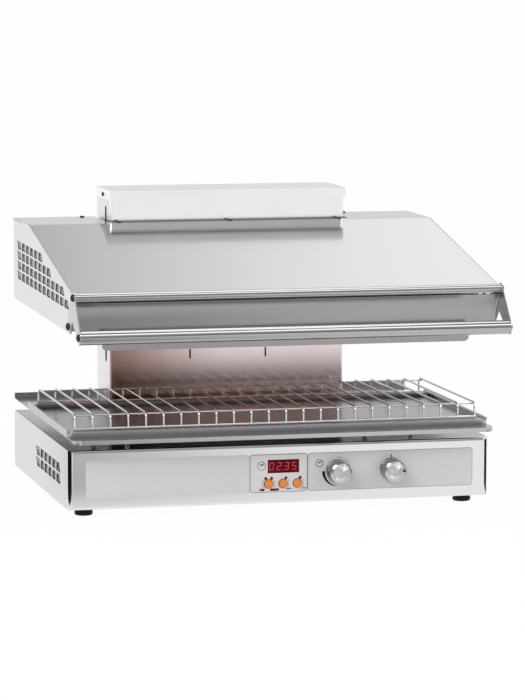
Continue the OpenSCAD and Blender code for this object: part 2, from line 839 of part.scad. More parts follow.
module guide_rods() {
    color(steel) for (sx = [-1, 1])
        translate([sx * rod_x, rod_y, base_z0 + sheet_t]) cylinder(d = rod_d, h = col_top - base_z0 - sheet_t);
}

buffer_h = 18;

module stop_buffers() {
    color(rubber) for (sx = [-1, 1], z = [arm_low - hood_drop - fit - buffer_h, arm_high + arm_h + hood_rise + fit])
        translate([sx * rod_x, rod_y, z]) difference() {
            cylinder(d = bush_d - 2, h = buffer_h);
            translate([0, 0, -cut]) cylinder(r = rod_d / 2 + run_gap, h = buffer_h + 2 * cut);
        }
}

strut_wall = 2;
strut_top = arm_low - hood_drop - 12;
strut_rod_r = 4;
piston_h = 10;
strut_cap = 10;
piston_z = base_z0 + sheet_t + strut_cap + hood_drop + 5;

module strut_cylinders() {
    color([0.12, 0.12, 0.13]) for (sx = [-1, 1])
        translate([sx * strut_x, strut_y, base_z0 + sheet_t]) difference() {
            cylinder(d = strut_d, h = strut_top - base_z0 - sheet_t);
            translate([0, 0, strut_cap])
                cylinder(r = strut_d / 2 - strut_wall, h = strut_top - base_z0 - sheet_t - 2 * strut_cap);
            translate([0, 0, strut_cap]) cylinder(r = strut_rod_r + run_gap, h = strut_top);
        }
}

lug_z = arm_low + arm_h - 6;

module strut_rods() {
    color(steel) for (sx = [-1, 1]) translate([sx * strut_x, strut_y, 0]) {
        translate([0, 0, piston_z]) cylinder(r = strut_d / 2 - strut_wall - run_gap, h = piston_h);
        translate([0, 0, piston_z + piston_h]) cylinder(r = strut_rod_r, h = lug_z - piston_z - piston_h);
    }
}

// The carriage: two beams whose ends reach through the slots, and a block round each rod
module carriage() {
    y0 = slot_cy - arm_t / 2;
    y1 = slot_cy + arm_t / 2;
    color([0.7, 0.7, 0.72]) difference() {
        union() {
            for (z = [arm_low, arm_high]) block(-recess_x, recess_x, y0, y1, z, z + arm_h);
            for (sx = [-1, 1]) {
                block(sx * rod_x - block_w / 2, sx * rod_x + block_w / 2, y0, rod_y + block_w / 2,
                      arm_low, arm_high + arm_h);
                block(sx * strut_x - 14, sx * strut_x + 14, y0, strut_y + 14, lug_z, lug_z + 6);
            }
        }
        for (sx = [-1, 1]) translate([sx * rod_x, rod_y, arm_low - cut])
            cylinder(r = bush_d / 2 + run_gap, h = arm_high - arm_low + arm_h + 2 * cut);
    }
}

module guide_bushes() {
    color([0.75, 0.6, 0.3]) for (sx = [-1, 1], z = [arm_low, arm_high + arm_h - bush_l])
        translate([sx * rod_x, rod_y, z]) difference() {
            cylinder(d = bush_d, h = bush_l);
            translate([0, 0, -cut]) cylinder(r = rod_d / 2 + run_gap, h = bush_l + 2 * cut);
        }
}

// ---------------------------------------------------------------- hood

hollow_c = [-28.5 - hollow_r, side_z0];
bend_half = atan(slope_rate) / 2;
bend_back = hood_bend_r * tan(bend_half);

// Height of the slope's outer face at y
function slope_at(y) = slope_z + (y - slope_y) * slope_rate;

// Outer line of the top, back to front, lowered by t
function top_line(t) = concat(
    [[body_d, hood_z1 - t]],
    arc([flat_y + bend_back, hood_z1 - hood_bend_r], hood_bend_r - t, 90, 90 + 2 * bend_half, 6));

tube_r = upper_tube_d / 2;
hollow_low = asin((hood_z0 + fit - side_z0) / hollow_r);
hollow_top = asin((tube_z - tube_r - 2.5 - side_z0) / hollow_r);

// Outline of a hood side, from the back round the top to the hollow front
module side_outline() {
    polygon(concat(
        [[body_d, hood_z0]],
        top_line(0),
        [[slope_y, slope_z], [slope_y - 3, slope_z - 3]],
        arc(hollow_c, hollow_r + sheet_t, hollow_top + 4, 0, 10)));
}

module hood_side() {
    start = body_d - 34;
    top = hood_z1 - 38.5;
    color(steel) difference() {
        union() {
            along_x(half_w - sheet_t, half_w) side_outline();
            block(half_w - sheet_t - lip_w, half_w - sheet_t, body_d - 2 * sheet_t - fit,
                  body_d - sheet_t - fit, hood_z0 + sheet_t + fit, hood_z1 - sheet_t - fit);
        }
        along_x(half_w - sheet_t - cut, half_w + cut) {
            translate([tube_y, tube_z]) circle(tube_r + fit);
            for (row = [0 : hood_louvre_rows - 1]) {
                row_top = top - row * hood_louvre_row;
                limit = max(flat_y - (hood_z1 - row_top) / slope_rate + 44, -5);
                louvre_row(start, row_top, floor((start - limit) / hood_louvre_pitch),
                           hood_louvre_pitch, hood_louvre_h, atan(hood_side_fall / body_d));
            }
        }
        for (z = hood_screw_z) rod_y_dir(hood_screw_x, z, body_d - 10, body_d + cut, screw_r + run_gap);
        rod_x_dir(leg_y, leg_z, half_w - 5, half_w + cut, screw_r + 1);
    }
}

module hood_side_right() {
    hood_side();
}

module hood_side_left() {
    mirror([1, 0, 0]) hood_side();
}

hood_screw_x = half_w - sheet_t - lip_w / 2;
hood_screw_z = [hood_z0 + 20, hood_z1 - 20];
top_screw_front = recess_y0 - 8;

function top_screw_places() =
    [[-249, body_d - 10], [249, body_d - 10], [-206, top_screw_front], [0, top_screw_front],
     [206, top_screw_front]];
top_end = slope_y - 5;

module hood_top() {
    color(steel) difference() {
        along_x(-inner_w, inner_w) polygon(concat(
            top_line(0),
            [[top_end, slope_at(top_end)], [top_end, slope_at(top_end) - sheet_t]],
            [for (i = [len(top_line(sheet_t)) - 1 : -1 : 0]) top_line(sheet_t)[i]]));
        block(-recess_x, recess_x, recess_y0, body_d + cut, hood_z0, hood_z1 + cut);
        rod_x_dir(tube_y, tube_z, -body_w, body_w, tube_r + fit);
        for (p = top_screw_places())
            translate([p[0], p[1], hood_z1 - 5]) cylinder(r = screw_r + run_gap, h = 10);
    }
}

module hood_back() {
    color(steel) for (sx = [-1, 1]) mirror([sx < 0 ? 1 : 0, 0, 0]) difference() {
        block(recess_x + sheet_t + fit, inner_w, body_d - sheet_t, body_d, hood_z0 + sheet_t + fit,
              hood_z1 - sheet_t - fit);
        for (z = hood_screw_z) rod_y_dir(hood_screw_x, z, body_d - 10, body_d + cut, screw_r + run_gap);
    }
}

// The three walls of the recess that the column runs in
module hood_recess() {
    z0 = hood_z0 + sheet_t;
    z1 = hood_z1 - sheet_t - fit;
    color(steel) {
        for (sx = [-1, 1]) mirror([sx < 0 ? 1 : 0, 0, 0])
            block(recess_x, recess_x + sheet_t, recess_y0, body_d, z0, z1);
        block(-recess_x - sheet_t, recess_x + sheet_t, recess_y0 - sheet_t, recess_y0, z0, z1);
    }
}

module hood_front() {
    color(dark_steel) along_x(-inner_w, inner_w) polygon(concat(
        arc(hollow_c, hollow_r, hollow_low, hollow_top, 24),
        arc(hollow_c, hollow_r + sheet_t, hollow_top, hollow_low, 24)));
}

module hood_bottom() {
    y0 = hollow_c[0] + hollow_r + sheet_t + fit;
    color(steel) difference() {
        block(-inner_w, inner_w, y0, body_d - sheet_t - fit, hood_z0, hood_z0 + sheet_t);
        block(-recess_x, recess_x, recess_y0 - sheet_t, body_d, hood_z0 - cut, hood_z0 + 10);
        block(-heat_x, heat_x, heat_y0, heat_y1, hood_z0 - cut, hood_z0 + 10);
    }
}

module hood_screws() {
    color(steel) {
        for (sx = [-1, 1], z = hood_screw_z) {
            rod_y_dir(sx * hood_screw_x, z, body_d, body_d + screw_head, screw_head_r);
            rod_y_dir(sx * hood_screw_x, z, body_d - 9, body_d, screw_r);
        }
        for (p = top_screw_places()) translate([p[0], p[1], hood_z1]) {
            cylinder(r = screw_head_r, h = screw_head);
            translate([0, 0, -8]) cylinder(r = screw_r, h = 8);
        }
    }
}

// ---------------------------------------------------------------- handle

leg_y = -14;
leg_z = side_z0 + 12;
head_h = 4;

module tube(y, z, r) {
    difference() {
        rod_x_dir(y, z, -half_w, half_w, r);
        rod_x_dir(y, z, -half_w + 12, half_w - 12, r - tube_wall);
        rod_x_dir(y, z, -half_w - cut, half_w + cut, screw_r + 2 + run_gap);
    }
}

module upper_tube() {
    color(steel) tube(tube_y, tube_z, tube_r);
}

module handle_tube() {
    color(steel) tube(handle_y, handle_z, handle_tube_d / 2);
}

// An end plate: a wide head on the upper tube, one leg to the handle, one to the hood's foot
module handle_plate() {
    head = [tube_y + 10, tube_z - 16];
    color(steel) difference() {
        along_x(half_w, half_w + plate_t) {
            hull() {
                translate([tube_y, tube_z]) circle(tube_r + 2, $fn = 32);
                translate(head) circle(18, $fn = 32);
                translate([handle_y, handle_z]) circle(handle_tube_d / 2 + 1, $fn = 32);
            }
            hull() {
                translate(head) circle(18, $fn = 32);
                translate([leg_y, leg_z]) circle(11, $fn = 32);
                translate([leg_y - 8, leg_z - 1]) circle(10, $fn = 32);
            }
        }
        for (p = bolt_places()) rod_x_dir(p[0], p[1], half_w - cut, half_w + plate_t + cut, screw_r + 2 + run_gap);
    }
}

function bolt_places() = [[tube_y, tube_z], [handle_y, handle_z], [leg_y, leg_z]];

module handle_plate_right() {
    handle_plate();
}

module handle_plate_left() {
    mirror([1, 0, 0]) handle_plate();
}

// Domed bolts with a hexagon socket
module handle_bolts() {
    x = half_w + plate_t;
    color(dark_steel) for (sx = [-1, 1]) mirror([sx < 0 ? 1 : 0, 0, 0])
        for (p = bolt_places()) difference() {
            union() {
                rod_x_dir(p[0], p[1], x, x + 1.5, bolt_head_d / 2);
                translate([x + 1.5, p[0], p[1]]) rotate([0, 90, 0])
                    cylinder(r1 = bolt_head_d / 2, r2 = bolt_head_d / 2 - 2.5, h = head_h - 1.5);
                rod_x_dir(p[0], p[1], p == bolt_places()[2] ? half_w : half_w - 11, x, screw_r + 2);
            }
            translate([x + 1.5, p[0], p[1]]) rotate([0, 90, 0]) cylinder(r = 2.9, h = head_h, $fn = 6);
        }
}

// ---------------------------------------------------------------- heater

cassette_x = half_w - cassette_side;
cassette_y0 = -cassette_front;
cassette_y1 = recess_y0 - 10;
heat_x = cassette_x - 26;
heat_y0 = cassette_y0 + 26;
heat_y1 = cassette_y1 - 26;
guard_z = cassette_z0 + sheet_t + guard_d / 2;
heat_z = cassette_z0 + heat_tube_d / 2 + 6;
holder_l = 14;

module cassette_plan(t) {
    translate([-cassette_x + t, cassette_y0 + t])
        round_rect(2 * (cassette_x - t), cassette_y1 - cassette_y0 - 2 * t, max(cassette_r - t, 1));
}

module heater_cassette() {
    color([0.6, 0.6, 0.6]) difference() {
        translate([0, 0, cassette_z0]) linear_extrude(cassette_h) cassette_plan(0);
        translate([0, 0, cassette_z0 + sheet_t]) linear_extrude(cassette_h - 2 * sheet_t) cassette_plan(sheet_t);
        translate([0, 0, cassette_z0 - cut]) linear_extrude(cassette_h + 2 * cut) cassette_plan(cassette_lip);
    }
}

// The apron: a plate with round lower corners in front of the cassette
module heater_apron() {
    x = cassette_x + 1;
    y = cassette_y0 - fit;
    color([0.6, 0.6, 0.6]) along_y(y - sheet_t, y) {
        translate([-x, apron_z0]) round_rect(2 * x, apron_drop + cassette_h - 6, 8);
        translate([-x, cassette_z0 + 6]) square([2 * x, cassette_h - 6]);
    }
}

// A bright sheet with a ridge between each two heating tubes
module reflector() {
    z = cassette_z1 - sheet_t - 1;
    y0 = cassette_y0 + sheet_t + fit;
    y1 = cassette_y1 - sheet_t - fit;
    x = cassette_x - sheet_t - fit - cassette_r * 0.3;
    color([0.85, 0.85, 0.86]) {
        block(-x, x, y0 + cassette_r * 0.3, y1 - cassette_r * 0.3, z, z + 1);
        along_x(-heat_x, heat_x) for (i = [1 : heat_tubes - 1]) let (y = (heat_y(i - 1) + heat_y(i)) / 2)
            polygon([[y - 9, z + 0.5], [y - 9, z], [y, z - 8], [y + 9, z], [y + 9, z + 0.5]]);
    }
}

function heat_y(i) = cassette_y0 + 45 + i * (cassette_y1 - cassette_y0 - 90) / (heat_tubes - 1);

module heating_tubes() {
    color([0.9, 0.35, 0.15]) for (i = [0 : heat_tubes - 1])
        rod_x_dir(heat_y(i), heat_z, -heat_x, heat_x, heat_tube_d / 2);
}

// Ceramic ends that carry the heating tubes on the cassette's lip
module tube_holders() {
    color([0.92, 0.9, 0.85]) for (sx = [-1, 1], i = [0 : heat_tubes - 1])
        mirror([sx < 0 ? 1 : 0, 0, 0]) difference() {
            block(heat_x - holder_l, cassette_x - sheet_t - fit, heat_y(i) - 10, heat_y(i) + 10,
                  guard_z + guard_d / 2, heat_z + heat_tube_d / 2 + 2);
            rod_x_dir(heat_y(i), heat_z, heat_x - holder_l - cut, heat_x + run_gap, heat_tube_d / 2 + run_gap);
        }
}

// Wires on the lip that keep hands and food off the heating tubes
module heater_guard() {
    x = cassette_x - cassette_lip + 6;
    y0 = cassette_y0 + cassette_lip - 6;
    y1 = cassette_y1 - cassette_lip + 6;
    color([0.7, 0.7, 0.7]) {
        for (i = [0 : guard_bars - 1]) let (bx = -x + 30 + i * (2 * x - 60) / (guard_bars - 1))
            rod_y_dir(bx, guard_z, y0, y1, guard_d / 2);
        for (y = [y0 + 3, (y0 + y1) / 2, y1 - 3]) rod_x_dir(y, guard_z, -x, x, guard_d / 2);
    }
}

module insulation() {
    color([0.93, 0.92, 0.88])
        block(-heat_x + 1, heat_x - 1, heat_y0 + 1, heat_y1 - 1, cassette_z1 - sheet_t, hood_z0 + 20);
}

place() base_floor();
place() base_side_left();
place() base_side_right();
place() base_back();
place() base_top();
place() base_screws();
place() rubber_feet();
place() foot_screws();
place() front_panel();
place() label_plates();
place() timer_bezel();
place() display_window();
place() display_board();
place() signal_lamps();
place() button_left();
place() button_middle();
place() button_right();
place() knob_left();
place() knob_left_shaft();
place() knob_right();
place() knob_right_shaft();
place() rotary_controls();
place() mains_parts();
place() cable_gland();
place() deck();
place() deck_posts();
place() drip_tray();
place() wire_rack();
place() column_front();
place() column_side_left();
place() column_side_right();
place() column_back();
place() column_cap();
place() column_screws();
place() guide_rods();
place() stop_buffers();
place() strut_cylinders();
place() strut_rods();
place() carriage();
place() guide_bushes();
place() hood_top();
place() hood_side_left();
place() hood_side_right();
place() hood_back();
place() hood_recess();
place() hood_front();
place() hood_bottom();
place() hood_screws();
place() upper_tube();
place() handle_tube();
place() handle_plate_left();
place() handle_plate_right();
place() handle_bolts();
place() heater_cassette();
place() heater_apron();
place() reflector();
place() heating_tubes();
place() tube_holders();
place() heater_guard();
place() insulation();
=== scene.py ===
import json
import math

import bmesh
import bpy
from mathutils import Matrix, Vector


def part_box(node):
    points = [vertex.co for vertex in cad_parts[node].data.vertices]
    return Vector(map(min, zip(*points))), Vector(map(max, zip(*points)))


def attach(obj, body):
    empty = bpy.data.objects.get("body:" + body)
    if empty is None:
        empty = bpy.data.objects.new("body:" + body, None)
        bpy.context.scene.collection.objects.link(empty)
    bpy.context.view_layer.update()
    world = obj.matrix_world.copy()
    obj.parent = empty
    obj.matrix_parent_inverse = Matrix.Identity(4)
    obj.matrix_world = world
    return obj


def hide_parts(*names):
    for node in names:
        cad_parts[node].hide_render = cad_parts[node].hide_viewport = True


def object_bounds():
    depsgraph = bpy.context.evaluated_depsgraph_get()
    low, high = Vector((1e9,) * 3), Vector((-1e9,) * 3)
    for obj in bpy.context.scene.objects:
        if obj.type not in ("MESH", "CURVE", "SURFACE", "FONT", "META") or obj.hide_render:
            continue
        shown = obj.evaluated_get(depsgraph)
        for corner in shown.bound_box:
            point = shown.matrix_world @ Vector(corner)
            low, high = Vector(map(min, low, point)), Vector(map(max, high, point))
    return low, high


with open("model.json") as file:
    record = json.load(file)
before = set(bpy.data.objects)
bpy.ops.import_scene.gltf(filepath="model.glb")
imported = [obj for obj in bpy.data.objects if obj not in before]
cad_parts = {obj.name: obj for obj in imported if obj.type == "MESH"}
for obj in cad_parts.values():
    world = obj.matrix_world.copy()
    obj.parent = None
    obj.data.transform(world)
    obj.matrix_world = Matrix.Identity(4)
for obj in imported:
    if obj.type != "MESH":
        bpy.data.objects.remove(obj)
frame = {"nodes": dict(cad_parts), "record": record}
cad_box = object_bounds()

MM = 0.001
NODES = frame["nodes"]
BODY_OF = {node: body for body, nodes in frame["record"]["behaviour"]["bodies"].items() for node in nodes}

# ---------------------------------------------------------------- camera

CAMERA_PLACE = (-1.491568, -6.046023, 1.019643)
CAMERA_YAW = math.radians(14.022)
CAMERA_PITCH = math.radians(6.985)
CAMERA_ROLL = math.radians(0.174)
CAMERA_LENS = 181.01


def make_camera():
    """The camera at the photograph's viewing angle."""
    ahead = Vector((
        math.sin(CAMERA_YAW) * math.cos(CAMERA_PITCH),
        math.cos(CAMERA_YAW) * math.cos(CAMERA_PITCH),
        -math.sin(CAMERA_PITCH),
    ))
    level = Vector((math.cos(CAMERA_YAW), -math.sin(CAMERA_YAW), 0))
    upward = level.cross(ahead)
    right = level * math.cos(CAMERA_ROLL) + upward * math.sin(CAMERA_ROLL)
    top = upward * math.cos(CAMERA_ROLL) - level * math.sin(CAMERA_ROLL)
    lens = bpy.data.cameras.new("camera")
    lens.sensor_width = 36
    lens.lens = CAMERA_LENS
    lens.clip_start = 0.1
    lens.clip_end = 200
    camera = bpy.data.objects.new("camera", lens)
    turned = Matrix((right, top, -ahead)).transposed()
    camera.matrix_world = Matrix.Translation(CAMERA_PLACE) @ turned.to_4x4()
    bpy.context.scene.collection.objects.link(camera)
    bpy.context.scene.camera = camera


make_camera()
bpy.context.scene.view_settings.view_transform = "Standard"

# ---------------------------------------------------------------- shader tools


class Wire:
    """A shader socket that adds Math nodes when Python reckons with it."""

    def __init__(self, tree, socket):
        self.tree = tree
        self.socket = socket

    def reckon(self, operation, first, second):
        """A Math node on two values."""
        node = self.tree.nodes.new("ShaderNodeMath")
        node.operation = operation
        join(self.tree, first, node.inputs[0])
        join(self.tree, second, node.inputs[1])
        return Wire(self.tree, node.outputs[0])

    def __add__(self, other):
        return self.reckon("ADD", self, other)

    def __radd__(self, other):
        return self.reckon("ADD", other, self)

    def __sub__(self, other):
        return self.reckon("SUBTRACT", self, other)

    def __rsub__(self, other):
        return self.reckon("SUBTRACT", other, self)

    def __mul__(self, other):
        return self.reckon("MULTIPLY", self, other)

    def __gt__(self, other):
        return self.reckon("GREATER_THAN", self, other)


def join(tree, value, socket):
    """Puts a link or a constant on a socket."""
    if isinstance(value, Wire):
        tree.links.new(value.socket, socket)
    else:
        socket.default_value = value


class Shade:
    """A node tree and the one way that nodes are added to it."""

    def __init__(self, tree):
        self.tree = tree

    def node(self, kind, settings=None, values=None, out=0):
        """Any node: its settings or stops first, then the values or links of its sockets."""
        node = self.tree.nodes.new(kind)
        for setting, value in (settings or {}).items():
            if setting == "stops":
                ramp = node.color_ramp.elements
                while len(ramp) < len(value):
                    ramp.new(1.0)
                for stop, (place, tone) in zip(ramp, value):
                    stop.position = place
                    stop.color = (tone, tone, tone, 1)
            else:
                setattr(node, setting, value)
        for socket, value in (values or {}).items():
            join(self.tree, value, node.inputs[socket])
        return Wire(self.tree, node.outputs[out])

    def blend(self, factor, first, second):
        """A colour between two colours."""
        return self.node("ShaderNodeMix", {"data_type": "RGBA"}, {0: factor, 6: first, 7: second}, 2)

    def slide(self, value, start_at, end_at, start_level=0.0, end_level=1.0):
        """A value carried smoothly from one range to another."""
        return self.node(
            "ShaderNodeMapRange", {"interpolation_type": "SMOOTHSTEP"},
            {0: value, 1: start_at, 2: end_at, 3: start_level, 4: end_level})

    def ray(self, *kinds):
        """1 for a ray of one of those kinds."""
        found = [self.node("ShaderNodeLightPath", out="Is %s Ray" % kind) for kind in kinds]
        most = found[0]
        for other in found[1:]:
            most = most.reckon("MAXIMUM", most, other)
        return most


class Finish(Shade):
    """One material and the nodes behind it."""

    def __init__(self, name, **constants):
        self.material = bpy.data.materials.new(name)
        self.material.use_nodes = True
        super().__init__(self.material.node_tree)
        self.shader = self.tree.nodes["Principled BSDF"]
        for socket, value in constants.items():
            self.put(socket.replace("_", " "), value)
        self.place = self.node("ShaderNodeTexCoord", out="Object")

    def put(self, socket, value):
        """Puts a link or a constant on the shader's own socket."""
        join(self.tree, value, self.shader.inputs[socket])

    def noise(self, scale, stretch=(1, 1, 1), detail=3.0, roughness=0.55):
        """Noise on Object coordinates, stretched along the grain."""
        place = self.node("ShaderNodeMapping", values={"Vector": self.place, "Scale": stretch})
        return self.node(
            "ShaderNodeTexNoise",
            values={"Vector": place, "Scale": scale, "Detail": detail, "Roughness": roughness},
        )

    def relief(self, height, strength, depth):
        """Puts a height on the surface as a bump."""
        bump = self.node(
            "ShaderNodeBump", values={"Height": height, "Strength": strength, "Distance": depth}
        )
        self.put("Normal", bump)

    def part(self, axis):
        """One Object coordinate, in metres."""
        return self.node("ShaderNodeSeparateXYZ", values={"Vector": self.place}, out=axis)


def grey(tone, warm=0.0):
    """A grey colour of that tone, a little warmer or cooler."""
    return (tone * (1 + warm), tone, tone * (1 - warm), 1)


GRAIN = {
    "x": (0.012, 1.0, 1.0),
    "y": (1.0, 0.012, 1.0),
    "z": (1.0, 1.0, 0.012),
}

# The column's tint: where it starts and is full, in metres, and its darkest and palest colour
TINT_LEFT, TINT_RIGHT = -0.23, 0.06
TINT_TOP, TINT_FULL = 0.372, 0.315
TINT_DARK = (0.29, 0.16, 0.135, 1)
TINT_PALE = (0.86, 0.73, 0.725, 1)

# The knobs' turned face: its tone, then the pitch of its fine grooves and two radii, in millimetres
SPUN_TONE = 0.6
SPUN_PITCH = 0.6
KNOB_WALL = 19.5
KNOB_FACE = 15.0

# The heating tubes: how strongly they glow, and how far out from the middle, in metres
HEAT_GLOW = 0.42
HEAT_LIT_HALF = 0.275


def brushed_steel(name, tone, grain="x", rough=0.3, streak=0.05, warm=0.0):
    """Stainless sheet with a brushed grain, faint clouds from wiping and fine scratches."""
    finish = Finish(name, Metallic=1.0)
    lines = finish.noise(620, GRAIN[grain], detail=4.0, roughness=0.7)
    clouds = finish.noise(7.0, detail=2.0)
    shade = finish.blend(lines, grey(tone * (1 - streak), warm), grey(tone * (1 + streak), warm))
    finish.put("Base Color", shade)
    finish.put("Roughness", (rough - 0.08) + lines * 0.09 + clouds * 0.07)
    finish.relief(lines, 0.16, 0.00012)
    return finish.material


def polished_steel(name, tone, rough=0.14, warm=0.0):
    """Drawn bar and tube, polished, with a trace of drawing lines."""
    finish = Finish(name, Metallic=1.0)
    lines = finish.noise(420, GRAIN["x"], detail=2.0)
    clouds = finish.noise(18.0, detail=2.0)
    finish.put("Base Color", finish.blend(clouds, grey(tone * 0.95, warm), grey(tone * 1.04, warm)))
    finish.put("Roughness", (rough - 0.04) + lines * 0.05 + clouds * 0.04)
    finish.relief(lines, 0.08, 0.00006)
    return finish.material


def low_reddish_steel(name, tone, rough):
    """The column's face: brushed steel, reddish low down, dark red-brown to the left and pale pink to the
    right.
    """
    finish = Finish(name, Metallic=1.0)
    lines = finish.noise(620, GRAIN["z"], detail=4.0, roughness=0.7)
    clouds = finish.noise(16.0, (1.0, 1.0, 0.25), detail=2.0)
    clean = finish.blend(lines, grey(tone * 0.96), grey(tone * 1.03))
    across = finish.slide(finish.part(0) + clouds * 0.06, TINT_LEFT, TINT_RIGHT)
    tinted = finish.blend(across, TINT_DARK, TINT_PALE)
    low = finish.slide(finish.part(2) + clouds * 0.02, TINT_TOP, TINT_FULL)
    finish.put("Base Color", finish.blend(low, clean, tinted))
    finish.put("Roughness", (rough - 0.06) + lines * 0.08 + clouds * 0.04)
    finish.relief(lines, 0.14, 0.0001)
    return finish.material


def spun_steel(name, node):
    """A knob: its face turned with fine grooves, its wall a darker tone that is painted shade."""
    low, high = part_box(node)
    finish = Finish(name, Metallic=1.0)
    across = finish.part(0) - (low.x + high.x) / 2
    upward = finish.part(2) - (low.z + high.z) / 2
    reach = across * across + upward * upward
    rings = finish.node(
        "ShaderNodeTexNoise", {"noise_dimensions": "1D"},
        {"W": reach * 9.0e5, "Scale": 1.0, "Detail": 2.0})
    face = finish.blend(rings, grey(SPUN_TONE * 0.9), grey(SPUN_TONE * 1.1))
    shoulder = finish.slide(reach, (KNOB_FACE * MM) ** 2, ((KNOB_FACE + 0.4) * MM) ** 2)
    # The wall and skirt get a darker tone: painted shade on the knob's side.
    wall = reach > ((KNOB_WALL - 0.5) * MM) ** 2
    edge = finish.blend(wall, grey(0.55), grey(0.30))
    finish.put("Base Color", finish.blend(shoulder, face, edge))
    finish.put("Roughness", 0.17 + rings * 0.08)
    radius = reach.reckon("SQRT", reach, 0.5)
    groove = radius.reckon("SINE", radius * (2 * math.pi / (SPUN_PITCH * MM)), 0)
    finish.relief(groove, 0.5, 0.00005)
    return finish.material


def moulded(name, colour, rough=0.45, mottle=0.06, grain_depth=0.00008, **constants):
    """Moulded plastic, rubber or paint with a fine skin and slight mottling."""
    finish = Finish(name, **constants)
    skin = finish.noise(1500.0, detail=2.0)
    clouds = finish.noise(40.0, detail=2.0)
    dark = tuple(c * (1 - mottle) for c in colour) + (1,)
    light = tuple(min(c * (1 + mottle), 1.0) for c in colour) + (1,)
    finish.put("Base Color", finish.blend(clouds, dark, light))
    finish.put("Roughness", (rough - 0.05) + skin * 0.06 + clouds * 0.05)
    finish.relief(skin, 0.25, grain_depth)
    return finish.material


def glowing(name, colour, glow, strength):
    """A lit part: its body colour, and the light that it gives."""
    finish = Finish(name, Emission_Strength=strength)
    ripple = finish.noise(90.0, detail=1.0)
    finish.put("Base Color", tuple(colour) + (1,))
    finish.put("Emission Color", finish.blend(
        ripple, tuple(c * 0.85 for c in glow) + (1,), tuple(glow) + (1,)))
    finish.put("Roughness", 0.25 + ripple * 0.1)
    return finish.material


def hot_tube():
    """A quartz heating tube: bright along its middle, darker at its ends."""
    finish = Finish("heating_tube", Emission_Strength=HEAT_GLOW, Roughness=0.2)
    coil = finish.noise(160.0, (1.0, 0.1, 0.1), detail=1.0)
    along = finish.part(0)
    cold_end = (along * along) > HEAT_LIT_HALF ** 2
    lit = finish.blend(coil, (0.75, 0.14, 0.03, 1), (1.0, 0.28, 0.08, 1))
    finish.put("Emission Color", finish.blend(cold_end, lit, (0.02, 0.005, 0.004, 1)))
    finish.put("Base Color", finish.blend(cold_end, (0.8, 0.3, 0.15, 1), (0.5, 0.48, 0.46, 1)))
    return finish.material


# ---------------------------------------------------------------- finishes

